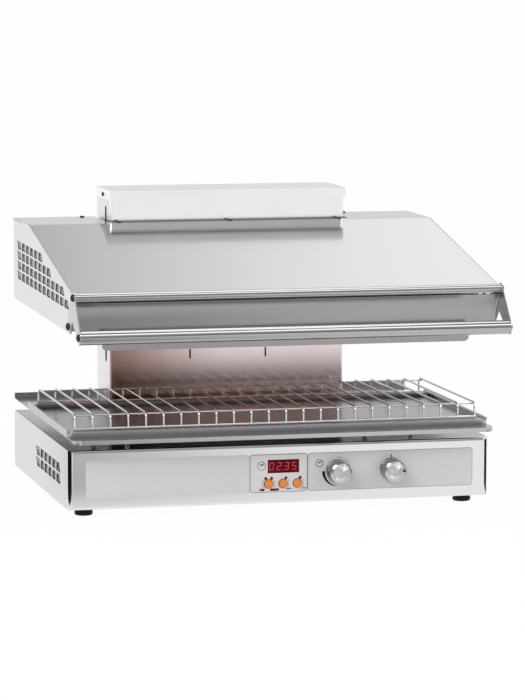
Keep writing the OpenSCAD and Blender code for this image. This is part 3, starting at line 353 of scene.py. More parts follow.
MATERIALS = {
    "hood_slope": brushed_steel("hood_slope", 0.69, "x", rough=0.12, streak=0.03),
    "hood_flank": brushed_steel("hood_flank", 0.76, "y", rough=0.30),
    # The hood's hollow front gets a low tone: painted shade in the recess.
    "hood_hollow_painted_shade": brushed_steel("hood_hollow_painted_shade", 0.37, "x", rough=0.26),
    "hood_inside": brushed_steel("hood_inside", 0.45, "x", rough=0.4),
    "base_face": brushed_steel("base_face", 0.78, "x", rough=0.11, streak=0.03),
    "base_flank": brushed_steel("base_flank", 0.70, "y", rough=0.30),
    # The base's top gets a low tone: painted shade under the tray.
    "base_mirror_painted_shade": brushed_steel("base_mirror_painted_shade", 0.32, "x", rough=0.12, streak=0.03),
    "casing": brushed_steel("casing", 0.60, "x", rough=0.35),
    # The louvre tongues get a low grey tone: painted shade in the openings.
    "louvre": moulded("louvre", (0.34, 0.34, 0.34), rough=0.42, mottle=0.12, Metallic=0.55),
    "column_face": low_reddish_steel("column_face", 0.93, rough=0.18),
    "column_flank": brushed_steel("column_flank", 0.82, "z", rough=0.34),
    "cap": brushed_steel("cap", 0.93, "z", rough=0.18, streak=0.03),
    "deck_sheet": brushed_steel("deck_sheet", 0.50, "x", rough=0.18),
    "tray_sheet": brushed_steel("tray_sheet", 0.44, "z", rough=0.24, warm=-0.02),
    "cassette_sheet": brushed_steel("cassette_sheet", 0.42, "x", rough=0.34),
    "reflector": polished_steel("reflector", 0.80, rough=0.16),
    "tube": polished_steel("tube", 0.45, rough=0.09),
    "wire": polished_steel("wire", 0.80, rough=0.13),
    "rod": polished_steel("rod", 0.72, rough=0.1),
    "plate": brushed_steel("plate", 0.55, "z", rough=0.26),
    "screw": polished_steel("screw", 0.45, rough=0.24),
    "bolt": moulded("bolt", (0.006, 0.006, 0.006), rough=0.28, mottle=0.1, Specular_IOR_Level=0.4),
    "aluminium": brushed_steel("aluminium", 0.66, "x", rough=0.42),
    "spun_left": spun_steel("spun_left", "knob_left"),
    "spun_right": spun_steel("spun_right", "knob_right"),
    "label": moulded("label", (0.65, 0.65, 0.65), rough=0.42, mottle=0.02, grain_depth=0.00004),
    "bezel": moulded("bezel", (0.68, 0.68, 0.68), rough=0.36, mottle=0.02, grain_depth=0.00004),
    "rubber": moulded("rubber", (0.008, 0.008, 0.008), rough=0.5, mottle=0.2, Specular_IOR_Level=0.2),
    "black_plastic": moulded("black_plastic", (0.015, 0.015, 0.016), rough=0.38),
    "pale_plastic": moulded("pale_plastic", (0.70, 0.67, 0.58), rough=0.45),
    "board": moulded("board", (0.03, 0.12, 0.05), rough=0.4),
    "paint": moulded("paint", (0.02, 0.02, 0.022), rough=0.3),
    "wool": moulded("wool", (0.72, 0.70, 0.62), rough=0.9, mottle=0.15, grain_depth=0.001),
    "ceramic": moulded("ceramic", (0.80, 0.77, 0.70), rough=0.55),
    "bronze": polished_steel("bronze", 0.50, rough=0.3, warm=0.28),
    "button": moulded("button", (0.86, 0.24, 0.025), rough=0.35, mottle=0.03),
    "window": moulded("window", (0.085, 0.001, 0.006), rough=0.2, mottle=0.04, grain_depth=0.00001,
                      Specular_IOR_Level=0.12),
    "lamp_dark": moulded("lamp_dark", (0.07, 0.006, 0.012), rough=0.25),
    "ink": moulded("ink", (0.004, 0.004, 0.004), rough=0.6, Specular_IOR_Level=0.1),
    "ink_grey": moulded("ink_grey", (0.07, 0.07, 0.075), rough=0.6, Specular_IOR_Level=0.2),
    "ink_red": moulded("ink_red", (0.16, 0.008, 0.03), rough=0.6, Specular_IOR_Level=0.2),
    "digit": glowing("digit", (0.4, 0.01, 0.02), (0.72, 0.02, 0.05), 0.62),
    "hot_tube": hot_tube(),
}

NODE_FINISH = {
    "base_floor": "casing", "base_side_left": "base_flank", "base_side_right": "base_flank",
    "base_back": "base_flank", "base_top": "base_mirror_painted_shade", "base_screws": "screw",
    "rubber_feet": "rubber", "foot_screws": "screw", "front_panel": "base_face",
    "label_plates": "label", "timer_bezel": "bezel", "display_window": "window",
    "display_board": "board", "signal_lamps": "lamp_dark", "button_left": "button",
    "button_middle": "button", "button_right": "button", "knob_left": "spun_left",
    "knob_left_shaft": "rod", "knob_right": "spun_right", "knob_right_shaft": "rod",
    "rotary_controls": "black_plastic", "mains_parts": "pale_plastic",
    "cable_gland": "black_plastic", "deck": "deck_sheet", "deck_posts": "tube",
    "drip_tray": "tray_sheet", "wire_rack": "wire", "column_front": "column_face",
    "column_side_left": "column_flank", "column_side_right": "column_flank",
    "column_back": "column_flank", "column_cap": "cap", "column_screws": "screw",
    "guide_rods": "rod", "stop_buffers": "rubber", "strut_cylinders": "paint",
    "strut_rods": "rod", "carriage": "aluminium", "guide_bushes": "bronze",
    "hood_top": "hood_slope", "hood_side_left": "hood_flank", "hood_side_right": "hood_flank",
    "hood_back": "hood_flank", "hood_recess": "hood_inside", "hood_front": "hood_hollow_painted_shade",
    "hood_bottom": "hood_inside", "hood_screws": "bolt", "upper_tube": "tube",
    "handle_tube": "tube", "handle_plate_left": "plate", "handle_plate_right": "plate",
    "handle_bolts": "bolt", "heater_cassette": "cassette_sheet", "heater_apron": "cassette_sheet",
    "reflector": "reflector", "heating_tubes": "hot_tube", "tube_holders": "ceramic",
    "heater_guard": "wire", "insulation": "wool",
}

for node, finish in NODE_FINISH.items():
    for material_slot in NODES[node].material_slots:
        material_slot.material = MATERIALS[finish]

# ---------------------------------------------------------------- modelling tools


def start():
    """Deselects everything, so that an operator acts on the new piece alone."""
    if bpy.context.mode != "OBJECT":
        bpy.ops.object.mode_set(mode="OBJECT")
    bpy.ops.object.select_all(action="DESELECT")


def alone(piece):
    """Selects one piece and makes it active."""
    start()
    piece.select_set(True)
    bpy.context.view_layer.objects.active = piece
    return piece


def choose(piece, kind, test):
    """In edit mode, selects the vertices, edges or faces that pass a test."""
    bpy.ops.mesh.select_mode(type=kind)
    mesh = bmesh.from_edit_mesh(piece.data)
    for group in (mesh.faces, mesh.edges, mesh.verts):
        for element in group:
            element.select = False
    for element in {"VERT": mesh.verts, "EDGE": mesh.edges, "FACE": mesh.faces}[kind]:
        element.select_set(test(element))
    mesh.select_flush_mode()
    bmesh.update_edit_mesh(piece.data)


def put_on(piece, kind, **settings):
    """Adds a modifier and applies it."""
    modifier = piece.modifiers.new(kind.lower(), kind)
    for setting, value in settings.items():
        setattr(modifier, setting, value)
    alone(piece)
    bpy.ops.object.modifier_apply(modifier=modifier.name)


def settle(piece):
    """Puts the piece's place into its mesh, and its object at the origin."""
    alone(piece)
    bpy.ops.object.transform_apply(location=True, rotation=True, scale=True)


def tidy_mesh(piece):
    """Merges doubles and turns every face outwards."""
    alone(piece)
    bpy.ops.object.mode_set(mode="EDIT")
    bpy.ops.mesh.select_all(action="SELECT")
    bpy.ops.mesh.remove_doubles(threshold=1e-6)
    bpy.ops.mesh.normals_make_consistent(inside=False)
    bpy.ops.object.mode_set(mode="OBJECT")


def together(pieces):
    """Joins pieces into the first one."""
    start()
    for piece in pieces:
        piece.select_set(True)
    bpy.context.view_layer.objects.active = pieces[0]
    bpy.ops.object.join()
    return bpy.context.object


def hand_over(piece, name, finish, body, stands_for=(), smooth=35):
    """Names a finished piece, gives it its finish and lets it ride on its body."""
    settle(piece)
    if smooth:
        bpy.ops.object.shade_smooth_by_angle(angle=math.radians(smooth))
    piece.name = name
    piece.data.name = name
    piece.data.materials.clear()
    piece.data.materials.append(MATERIALS[finish])
    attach(piece, body)
    if stands_for:
        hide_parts(*stands_for)
    return piece


def turned(profile, sides=48):
    """A turned piece about +Z: a ring that is extruded and resized from point to point."""
    radius, height = profile[0]
    start()
    bpy.ops.mesh.primitive_circle_add(
        vertices=sides, radius=radius * MM, fill_type="NGON", location=(0, 0, height * MM))
    piece = bpy.context.object
    settle(piece)
    bpy.ops.object.mode_set(mode="EDIT")
    choose(piece, "EDGE", lambda edge: True)
    for next_radius, next_height in profile[1:]:
        bpy.ops.mesh.extrude_edges_move(
            TRANSFORM_OT_translate={"value": (0, 0, (next_height - height) * MM)})
        share = next_radius / radius
        bpy.ops.transform.resize(
            value=(share, share, 1), center_override=(0, 0, next_height * MM))
        radius, height = next_radius, next_height
    bpy.ops.mesh.edge_face_add()
    bpy.ops.object.mode_set(mode="OBJECT")
    tidy_mesh(piece)
    return piece


def turn_to(piece, outward):
    """Turns a piece made about +Z so that its top points outward."""
    piece.rotation_mode = "QUATERNION"
    piece.rotation_quaternion = Vector((0, 0, 1)).rotation_difference(Vector(outward))
    settle(piece)
    return piece


def copy_to(piece, place):
    """A copy with its own mesh, moved to a place."""
    copy = piece.copy()
    copy.data = piece.data.copy()
    bpy.context.scene.collection.objects.link(copy)
    copy.location = place
    settle(copy)
    return copy


def solids(node):
    """The lowest and highest corner of each separate solid of a CAD node."""
    mesh = bmesh.new()
    mesh.from_mesh(NODES[node].data)
    bmesh.ops.remove_doubles(mesh, verts=mesh.verts, dist=1e-6)
    left = set(mesh.verts)
    boxes = []
    while left:
        island, edge = set(), [left.pop()]
        while edge:
            vertex = edge.pop()
            island.add(vertex)
            for link in vertex.link_edges:
                other = link.other_vert(vertex)
                if other in left:
                    left.remove(other)
                    edge.append(other)
        low = Vector([min(v.co[i] for v in island) for i in range(3)])
        high = Vector([max(v.co[i] for v in island) for i in range(3)])
        boxes.append((low, high))
    mesh.free()
    return sorted(boxes, key=lambda box: tuple(round(c, 5) for c in box[0]))


def softened(node, finish, width):
    """A copy of a CAD node with its sharp edges rounded, as a folded and deburred sheet has them."""
    source = NODES[node]
    copy = bpy.data.objects.new(node + "_sheet", source.data.copy())
    bpy.context.scene.collection.objects.link(copy)
    alone(copy)
    bpy.ops.mesh.customdata_custom_splitnormals_clear()
    bpy.ops.object.mode_set(mode="EDIT")
    bpy.ops.mesh.select_all(action="SELECT")
    bpy.ops.mesh.remove_doubles(threshold=1e-6)
    bpy.ops.mesh.dissolve_limited(angle_limit=math.radians(0.4))
    bpy.ops.object.mode_set(mode="OBJECT")
    put_on(copy, "BEVEL", width=width * MM, segments=2, limit_method="ANGLE",
           angle_limit=math.radians(42), use_clamp_overlap=True, harden_normals=False)
    alone(copy)
    bpy.ops.object.shade_smooth_by_angle(angle=math.radians(35))
    put_on(copy, "WEIGHTED_NORMAL", mode="FACE_AREA", weight=100, keep_sharp=True)
    return hand_over(copy, node + "_sheet", finish, BODY_OF[node], (node,), None)


# ---------------------------------------------------------------- sheet metal with rounded edges

SHEETS = {
    "hood_top": 0.5, "hood_side_left": 0.4, "hood_side_right": 0.4, "hood_front": 0.4,
    "column_cap": 0.4, "column_side_left": 0.4, "column_side_right": 0.4,
    "base_side_left": 0.4, "base_side_right": 0.4, "base_top": 0.5, "deck": 0.4,
    "heater_apron": 0.4, "handle_plate_left": 0.5, "handle_plate_right": 0.5,
}
for node, width in SHEETS.items():
    softened(node, NODE_FINISH[node], width)

# ---------------------------------------------------------------- places taken from the frame

FACE_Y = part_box("front_panel")[0].y
LABEL_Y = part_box("label_plates")[0].y
BEZEL_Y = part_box("timer_bezel")[0].y
BEZEL_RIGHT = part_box("timer_bezel")[1].x
SIDE_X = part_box("hood_side_right")[1].x
FORWARD = Vector((0, -1, 0))


def from_front(y):
    """A depth in millimetres behind the base's front face, in the frame's metres."""
    return FACE_Y + y * MM


def middle(node):
    """The middle of a node's box."""
    low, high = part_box(node)
    return (low + high) / 2


# ---------------------------------------------------------------- knobs

KNOB_RADIUS = (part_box("knob_left")[1].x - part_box("knob_left")[0].x) / 2 / MM
KNOB_HEIGHT = (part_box("knob_left")[1].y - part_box("knob_left")[0].y) / MM
SHOULDER = KNOB_WALL - KNOB_FACE
GROOVE = 0.62
GROOVE_DEPTH = 0.085


def knob_profile():
    """Skirt, wall, sloping shoulder with broken edges, and a face turned with fine grooves."""
    top = KNOB_HEIGHT
    face = KNOB_FACE
    profile = [
        (12, 0), (KNOB_RADIUS - 0.4, 0), (KNOB_RADIUS, 0.4), (KNOB_RADIUS, 2.3),
        (KNOB_RADIUS - 0.3, 2.8), (KNOB_WALL, 3.2), (KNOB_WALL - 0.1, 10),
        (KNOB_WALL - 0.15, 17), (KNOB_WALL - 0.1, top - SHOULDER - 0.6),
        (KNOB_WALL - 0.25, top - SHOULDER - 0.1), (KNOB_WALL - 0.7, top - SHOULDER + 0.5),
        (face + 0.9, top - 1.0), (face + 0.35, top - 0.5), (face, top - 0.3),
        (face - 0.5, top - 0.28), (face - 0.7, top - 0.45),
    ]
    radius, step = face - 1.0, 0
    while radius > 0.7:
        profile.append((radius, top - 0.45 - GROOVE_DEPTH * (step % 2)))
        radius -= GROOVE / 2
        step += 1
    return profile


def make_knobs():
    """Both knobs, from one turned master."""
    master = turn_to(turned(knob_profile(), sides=72), FORWARD)
    for side in ("left", "right"):
        node = "knob_" + side
        low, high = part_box(node)
        knob = copy_to(master, ((low.x + high.x) / 2, high.y, (low.z + high.z) / 2))
        hand_over(knob, "spun_" + node, "spun_" + side, side + "_knob", (node,), 22)
    bpy.data.objects.remove(master)


def bar(width, height, depth, place, finish_edge=0.0, lean=0.0, along="y"):
    """A small plate round a place: a cube that is resized, leant and given soft edges."""
    start()
    bpy.ops.mesh.primitive_cube_add(size=1, location=(0, 0, 0))
    piece = bpy.context.object
    piece.scale = (width * MM, depth * MM, height * MM)
    settle(piece)
    if finish_edge:
        put_on(piece, "BEVEL", width=finish_edge * MM, segments=2, limit_method="NONE")
    turn = {"y": (0, lean, 0), "z": (0, 0, lean)}[along]
    piece.rotation_euler = [math.radians(a) for a in turn]
    piece.location = place
    settle(piece)
    return piece


def make_pointer():
    """The black pointer of the right knob, at three o'clock: over the face's rim and the shoulder."""
    low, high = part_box("knob_right")
    axis_x, axis_z = (low.x + high.x) / 2, (low.z + high.z) / 2
    on_face = bar(2.6, 3.4, 0.5, (axis_x + (KNOB_FACE - 1.0) * MM, low.y + 0.35 * MM, axis_z), 0.1)
    reach = KNOB_FACE + 1.9
    on_shoulder = bar(5.4, 3.4, 0.8, (axis_x + reach * MM, low.y + 1.85 * MM, axis_z), 0.1, 45, "z")
    hand_over(together([on_face, on_shoulder]), "knob_pointer", "ink", "right_knob")


# ---------------------------------------------------------------- push buttons


CAP_RIM = 1.1


def make_buttons():
    """Each button: a stem, a collar behind the bezel and a dished cap with a rounded rim."""
    low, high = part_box("button_left")
    depth = (high.y - low.y) / MM
    collar_radius = (high.x - low.x) / 2 / MM
    cap_radius = collar_radius - 1
    cap_back = depth - (FACE_Y - low.y) / MM
    profile = [(2, 0), (2, cap_back - 1.5), (collar_radius, cap_back - 1.5),
               (collar_radius, cap_back - 0.3), (cap_radius, cap_back - 0.3)]
    for k in range(6):
        turn = math.radians(18 * k)
        profile.append((cap_radius - CAP_RIM + CAP_RIM * math.cos(turn),
                        depth - CAP_RIM + CAP_RIM * math.sin(turn)))
    profile += [(cap_radius - 2.0, depth - 0.12), (cap_radius - 4.0, depth - 0.30), (1.0, depth - 0.38)]
    master = turn_to(turned(profile, sides=40), FORWARD)
    for name in ("left", "middle", "right"):
        node = "button_" + name
        low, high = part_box(node)
        cap = copy_to(master, ((low.x + high.x) / 2, high.y, (low.z + high.z) / 2))
        hand_over(cap, "cap_" + node, "button", name + "_button", (node,), 40)
    bpy.data.objects.remove(master)


def make_lamps():
    """Round-ended lamps beside the buttons."""
    caps = []
    for low, high in solids("signal_lamps"):
        radius = (high.x - low.x) / 2 / MM
        depth = (high.y - low.y) / MM
        profile = [(radius, 0), (radius, depth - 0.5), (radius * 0.8, depth - 0.15), (radius * 0.4, depth)]
        lamp = turn_to(turned(profile, sides=20), FORWARD)
        caps.append(copy_to(lamp, ((low.x + high.x) / 2, high.y, (low.z + high.z) / 2)))
        bpy.data.objects.remove(lamp)
    hand_over(together(caps), "lamp_caps", "lamp_dark", "frame", ("signal_lamps",),
              50)


# ---------------------------------------------------------------- display digits

DIGIT_HEIGHT = 12.4
DIGIT_WIDTH = 6.6
DIGIT_PITCH = 13.5
DIGIT_BAR = 1.25
DIGIT_SHIFT = -1.0
DIGIT_LEAN = 7
DIGITS = ("abcdef", "abdeg", "abcdg", "acdfg")


def segment_places():
    """Where each of the seven bars sits in a digit, and whether it stands upright."""
    half = DIGIT_WIDTH / 2
    quarter = DIGIT_HEIGHT / 4
    return {
        "a": (0, 2 * quarter, False), "g": (0, 0, False), "d": (0, -2 * quarter, False),
        "f": (-half, quarter, True), "b": (half, quarter, True),
        "e": (-half, -quarter, True), "c": (half, -quarter, True),
    }


def make_digits():
    """The four lit digits and the point between them."""
    window = middle("display_window")
    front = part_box("display_window")[0].y
    lean = math.tan(math.radians(DIGIT_LEAN))
    places = segment_places()
    bars = []
    for k, lit in enumerate(DIGITS):
        x = window.x / MM + DIGIT_SHIFT + (k - 1.5) * DIGIT_PITCH
        for segment in lit:
            across, up, upright = places[segment]
            length = (DIGIT_HEIGHT / 2 if upright else DIGIT_WIDTH) - 0.5
            size = (DIGIT_BAR, length) if upright else (length, DIGIT_BAR)
            place = ((x + across + up * lean) * MM, front, window.z + up * MM)
            bars.append(bar(size[0], size[1], 0.12, place, lean=DIGIT_LEAN if upright else 0))
    point = (window.x + (DIGIT_SHIFT - 0.5 * DIGIT_PITCH + 6.0) * MM, front,
             window.z - DIGIT_HEIGHT / 2 * MM)
    bars.append(bar(1.5, 1.5, 0.12, point))
    hand_over(together(bars), "display_digits", "digit", "frame")


# ---------------------------------------------------------------- printed marks

INK = 0.06
ARC_SIDES = 96
HAIR_RADIUS, HAIR_WIDTH, HAIR_TO = 24.0, 0.6, 68
WEDGE_OUTER, WEDGE_THICK = 27.0, 5.2
WEDGE_FROM, WEDGE_TO = 183, 270
WEDGE_LEAST, WEDGE_GROWTH = 0.06, 0.6

# Places on the front, in millimetres: across from the middle, and up; then widths
BEZEL_CLOCK, LABEL_CLOCK = (-36.2, 81.2), (67.4, 82.5)
ZERO_MARK_UP = 91.0
DIVIDERS, DIVIDERS_UP = (-34.0, -13.6, 11.4, 37.7), 49.8
GREY_BARS, GREY_BARS_UP = ((12.2, 9.4), (39.4, 10.2)), 40.2
RED_BARS, RED_BARS_UP = ((-40.3, 1.2), (-34.6, 7.6), (-12.9, 15.5)), 39.1


def flat_ring(radius, width, centre, sides=48):
    """A thin flat ring that faces forward: a circle, extruded and resized, then given its thickness."""
    start()
    bpy.ops.mesh.primitive_circle_add(vertices=sides, radius=(radius - width / 2) * MM)
    piece = bpy.context.object
    bpy.ops.object.mode_set(mode="EDIT")
    choose(piece, "EDGE", lambda edge: True)
    bpy.ops.mesh.extrude_edges_move()
    share = (radius + width / 2) / (radius - width / 2)
    bpy.ops.transform.resize(value=(share, share, 1), center_override=(0, 0, 0))
    bpy.ops.object.mode_set(mode="OBJECT")
    put_on(piece, "SOLIDIFY", thickness=INK * MM, offset=0)
    turn_to(piece, FORWARD)
    piece.location = centre
    settle(piece)
    return piece


def clock_mark(centre, radius, ring_width, dial_ticks):
    """A plain clock face: a ring, two hands and a few ticks."""
    marks = [flat_ring(radius, ring_width, centre)]
    for length, lean in ((radius * 0.8, 45), (radius * 0.6, -35)):
        angle = math.radians(lean)
        place = centre + Vector((math.sin(angle), 0, math.cos(angle))) * length / 2 * MM
        marks.append(bar(1.7, length, INK, place, lean=lean))
    for k in range(dial_ticks):
        angle = math.radians(360 / dial_ticks * k)
        place = centre + Vector((math.sin(angle), 0, math.cos(angle))) * (radius + 1.2) * MM
        marks.append(bar(ring_width, 1.2, INK, place, lean=math.degrees(angle)))
    return together(marks)


def clock_angle(point):
    """A point's angle on a dial: 0 at twelve, 90 at three."""
    return math.degrees(math.atan2(point.x, point.z)) % 360


def ring_arc(radius, width, from_angle, to_angle):
    """The part of a flat ring between two clock angles."""
    piece = flat_ring(radius, width, Vector((0, 0, 0)), ARC_SIDES)
    alone(piece)
    bpy.ops.object.mode_set(mode="EDIT")
    choose(piece, "FACE", lambda face: not from_angle < clock_angle(face.calc_center_median()) < to_angle)
    bpy.ops.mesh.delete(type="FACE")
    return piece


def close_ends(piece, centre):
    """Closes the cut ends of an arc and puts it in its place."""
    bpy.ops.mesh.select_mode(type="EDGE")
    bpy.ops.mesh.select_all(action="DESELECT")
    bpy.ops.mesh.select_non_manifold()
    bpy.ops.mesh.edge_face_add()
    bpy.ops.object.mode_set(mode="OBJECT")
    tidy_mesh(piece)
    piece.location = centre
    settle(piece)
    return piece


def timer_wedge(centre):
    """The printed time scale round the left knob: a hairline, and a wedge that grows towards its end."""
    hairline = close_ends(ring_arc(HAIR_RADIUS, HAIR_WIDTH, 0, HAIR_TO), centre)
    piece = ring_arc(WEDGE_OUTER - WEDGE_THICK / 2, WEDGE_THICK, WEDGE_FROM, WEDGE_TO)
    spoke = 360 / ARC_SIDES
    near = math.cos(math.radians(spoke / 3))
    for k in range(int(WEDGE_FROM // spoke), int(WEDGE_TO // spoke) + 1):
        turn = math.radians(k * spoke)
        out = Vector((math.sin(turn), 0, math.cos(turn)))
        share = max(WEDGE_LEAST, (k * spoke - WEDGE_FROM) / (WEDGE_TO - WEDGE_FROM)) ** WEDGE_GROWTH
        choose(piece, "VERT", lambda vertex: vertex.co.normalized().dot(out) > near)
        bpy.ops.transform.resize(value=(share, 1, share), center_override=out * WEDGE_OUTER * MM)
    return together([close_ends(piece, centre), hairline])


def rounded_outline(node_box, edge, width, radius):
    """A dark hairline just inside a plate's edge, with round corners."""
    low, high = node_box
    start()
    bpy.ops.mesh.primitive_plane_add(size=1, location=(0, 0, 0))
    piece = bpy.context.object
    piece.scale = (high.x - low.x - 2 * edge * MM, high.z - low.z - 2 * edge * MM, 1)
    settle(piece)
    put_on(piece, "BEVEL", affect="VERTICES", width=radius * MM, segments=6)
    alone(piece)
    bpy.ops.object.mode_set(mode="EDIT")
    bpy.ops.mesh.select_all(action="SELECT")
    bpy.ops.mesh.inset(thickness=width * MM)
    bpy.ops.mesh.delete(type="FACE")
    bpy.ops.object.mode_set(mode="OBJECT")
    put_on(piece, "SOLIDIFY", thickness=INK * MM, offset=0)
    turn_to(piece, FORWARD)
    piece.location = ((low.x + high.x) / 2, low.y, (low.z + high.z) / 2)
    settle(piece)
    return piece


def on_plate(place, y):
    """A place on a plate's face, in the frame's metres."""
    return Vector((place[0] * MM, y, place[1] * MM))


def make_marks():
    """What is on the label and the bezel: printed plain marks, a painted shadow line round the bezel, and a
    dark ring round each button.
    """
    knob = middle("knob_left")
    second_knob = middle("knob_right")
    dark = [
        clock_mark(on_plate(BEZEL_CLOCK, BEZEL_Y), 7.2, 0.9, 0),
        clock_mark(on_plate(LABEL_CLOCK, LABEL_Y), 6.0, 0.85, 14),
        timer_wedge(Vector((knob.x, LABEL_Y, knob.z))),
        bar(1.5, 7.0, INK, (second_knob.x, LABEL_Y, ZERO_MARK_UP * MM)),
    ]
    hand_over(together(dark), "printed_scales", "ink", "frame")
    low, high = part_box("label_plates")
    right_label = (Vector((BEZEL_RIGHT + 0.6 * MM, low.y, low.z)), high)
    lines = [
        # The hairline round the bezel is a painted shadow line at its edge.
        rounded_outline(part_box("timer_bezel"), 0.1, 0.75, 5.0),
        rounded_outline(right_label, 0.1, 0.55, 5.0),
    ]
    for x in DIVIDERS:
        lines.append(bar(0.7, 14.0, INK, on_plate((x, DIVIDERS_UP), BEZEL_Y)))
    for x, width in GREY_BARS:
        lines.append(bar(width, 1.7, INK, on_plate((x, GREY_BARS_UP), BEZEL_Y)))
    # A dark ring round each button.
    for name in ("left", "middle", "right"):
        place = middle("button_" + name)
        lines.append(flat_ring(7.75, 1.0, Vector((place.x, BEZEL_Y, place.z))))
    hand_over(together(lines), "printed_and_shadow_lines", "ink_grey", "frame")
    red = [bar(width, 4.4, INK, on_plate((x, RED_BARS_UP), BEZEL_Y), 0.02) for x, width in RED_BARS]
    for low, high in solids("signal_lamps"):
        red.append(flat_ring(2.15, 1.3, Vector(((low.x + high.x) / 2, BEZEL_Y, (low.z + high.z) / 2)), 24))
    hand_over(together(red), "printed_fields", "ink_red", "frame")


# ---------------------------------------------------------------- feet, screws and bolts


def make_feet():
    """The four feet, from one turned master."""
    low, high = solids("rubber_feet")[0]
    radius = (high.x - low.x) / 2 / MM
    height = (high.z - low.z) / MM
    profile = [(8, 1.2), (8.5, 0.0), (radius - 3.0, 0.0), (radius - 1.6, 0.4), (radius - 0.5, 1.5),
               (radius, 3.0), (radius - 0.2, 6.5), (radius - 0.9, 9.5), (radius - 1.5, height - 1.6),
               (radius - 1.7, height - 0.6), (radius - 2.4, height)]
    master = turned(profile, sides=48)
    feet = [copy_to(master, ((a.x + b.x) / 2, (a.y + b.y) / 2, a.z)) for a, b in solids("rubber_feet")]
    bpy.data.objects.remove(master)
    hand_over(together(feet), "moulded_feet", "rubber", "frame", ("rubber_feet",),
              40)


def cut_with(piece, cutter):
    """Cuts one piece out of another."""
    put_on(piece, "BOOLEAN", object=cutter, operation="DIFFERENCE", solver="EXACT")
    bpy.data.objects.remove(cutter)
    return piece


SCREW_HEAD = 2.2
SCREW_SHANK = 2


def screw(head_radius, shank_length):
    """A domed screw with a cross recess, its head's underside at zero."""
    dome = [(SCREW_SHANK, -shank_length), (SCREW_SHANK, 0), (head_radius, 0),
            (head_radius, SCREW_HEAD * 0.25), (head_radius * 0.9, SCREW_HEAD * 0.62),
            (head_radius * 0.7, SCREW_HEAD * 0.88), (head_radius * 0.35, SCREW_HEAD)]
    piece = turned(dome, sides=20)
    for turn in (0, 90):
        slot = bar(head_radius * 1.1, SCREW_HEAD, head_radius * 0.24,
                   (0, 0, SCREW_HEAD * 0.95 * MM), lean=turn, along="z")
        cut_with(piece, slot)
    return piece


def outward_of(low, high):
    """The way a screw points out: its long side, away from the object's middle."""
    size = high - low
    axis = max(range(3), key=lambda i: size[i])
    way = Vector((0, 0, 0))
    way[axis] = 1.0
    if axis == 0 and (low.x + high.x) < 0:
        way[axis] = -1.0
    return way, axis


def make_screws(node, finish):
    """Every screw of a node, each where its CAD solid is."""
    masters, made = {}, []
    for low, high in solids(node):
        way, axis = outward_of(low, high)
        radius = min((high - low)[i] for i in range(3) if i != axis) / 2 / MM
        length = (high - low)[axis] / MM
        key = (round(length, 2), tuple(way))
        if key not in masters:
            masters[key] = turn_to(screw(radius, length - SCREW_HEAD), way)
        seat = (low + high) / 2
        top = high[axis] if way[axis] > 0 else low[axis]
        seat[axis] = top - way[axis] * SCREW_HEAD * MM
        made.append(copy_to(masters[key], seat))
    for master in masters.values():
        bpy.data.objects.remove(master)
    hand_over(together(made), "cross_" + node, finish, BODY_OF[node], (node,), 40)


BOLT_HEAD = 4.0
BOLT_SHANK = 4
SOCKET_RADIUS = 2.9


def make_bolts():
    """The handle's domed bolts with hexagon sockets."""
    made = []
    for low, high in solids("handle_bolts"):
        side = 1 if low.x > 0 else -1
        radius = (high.y - low.y) / 2 / MM
        length = (high.x - low.x) / MM - BOLT_HEAD
        profile = [(BOLT_SHANK, -length), (BOLT_SHANK, 0), (radius, 0), (radius, 0.9), (radius * 0.97, 1.5),
                   (radius * 0.88, 2.4), (radius * 0.74, 3.3), (radius * 0.6, BOLT_HEAD - 0.15),
                   (radius * 0.52, BOLT_HEAD)]
        bolt = turned(profile, sides=36)
        start()
        bpy.ops.mesh.primitive_cylinder_add(
            vertices=6, radius=SOCKET_RADIUS * MM, depth=5 * MM, location=(0, 0, (BOLT_HEAD + 0.3) * MM))
        cut_with(bolt, bpy.context.object)
        turn_to(bolt, (side, 0, 0))
        seat = ((high.x if side > 0 else low.x) - side * BOLT_HEAD * MM,
                (low.y + high.y) / 2, (low.z + high.z) / 2)
        made.append(copy_to(bolt, seat))
        bpy.data.objects.remove(bolt)
    hand_over(together(made), "socket_bolts", "bolt", "hood", ("handle_bolts",),
              30)


# ---------------------------------------------------------------- hood details

HOOD_BACK_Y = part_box("hood_top")[1].y
HOOD_TOP_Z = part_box("hood_top")[1].z
HOOD_FLAT = 157
HOOD_FRONT = 41
SLOPE_FALL = 81.5
BEND_RADIUS = 60
FOLD_DROP = 4.5
FOLD_THICK = 0.7


def top_outline():
    """The hood's top line from back to front: flat, bend and slope, as (y, z) in metres."""
    flat_y = HOOD_BACK_Y - HOOD_FLAT * MM
    slope_y = from_front(-HOOD_FRONT)
    run = flat_y - slope_y
    fall = SLOPE_FALL * MM
    turn = math.atan(fall / run)
    radius = BEND_RADIUS * MM
    before = radius * math.tan(turn / 2)
    points = [(HOOD_BACK_Y, HOOD_TOP_Z)]
    for k in range(7):
        angle = turn * k / 6
        points.append((flat_y + before - radius * math.sin(angle),
                       HOOD_TOP_Z - radius + radius * math.cos(angle)))
    points.append((slope_y + 1.0 * MM, HOOD_TOP_Z - fall + 1.0 * MM * fall / run))
    return points


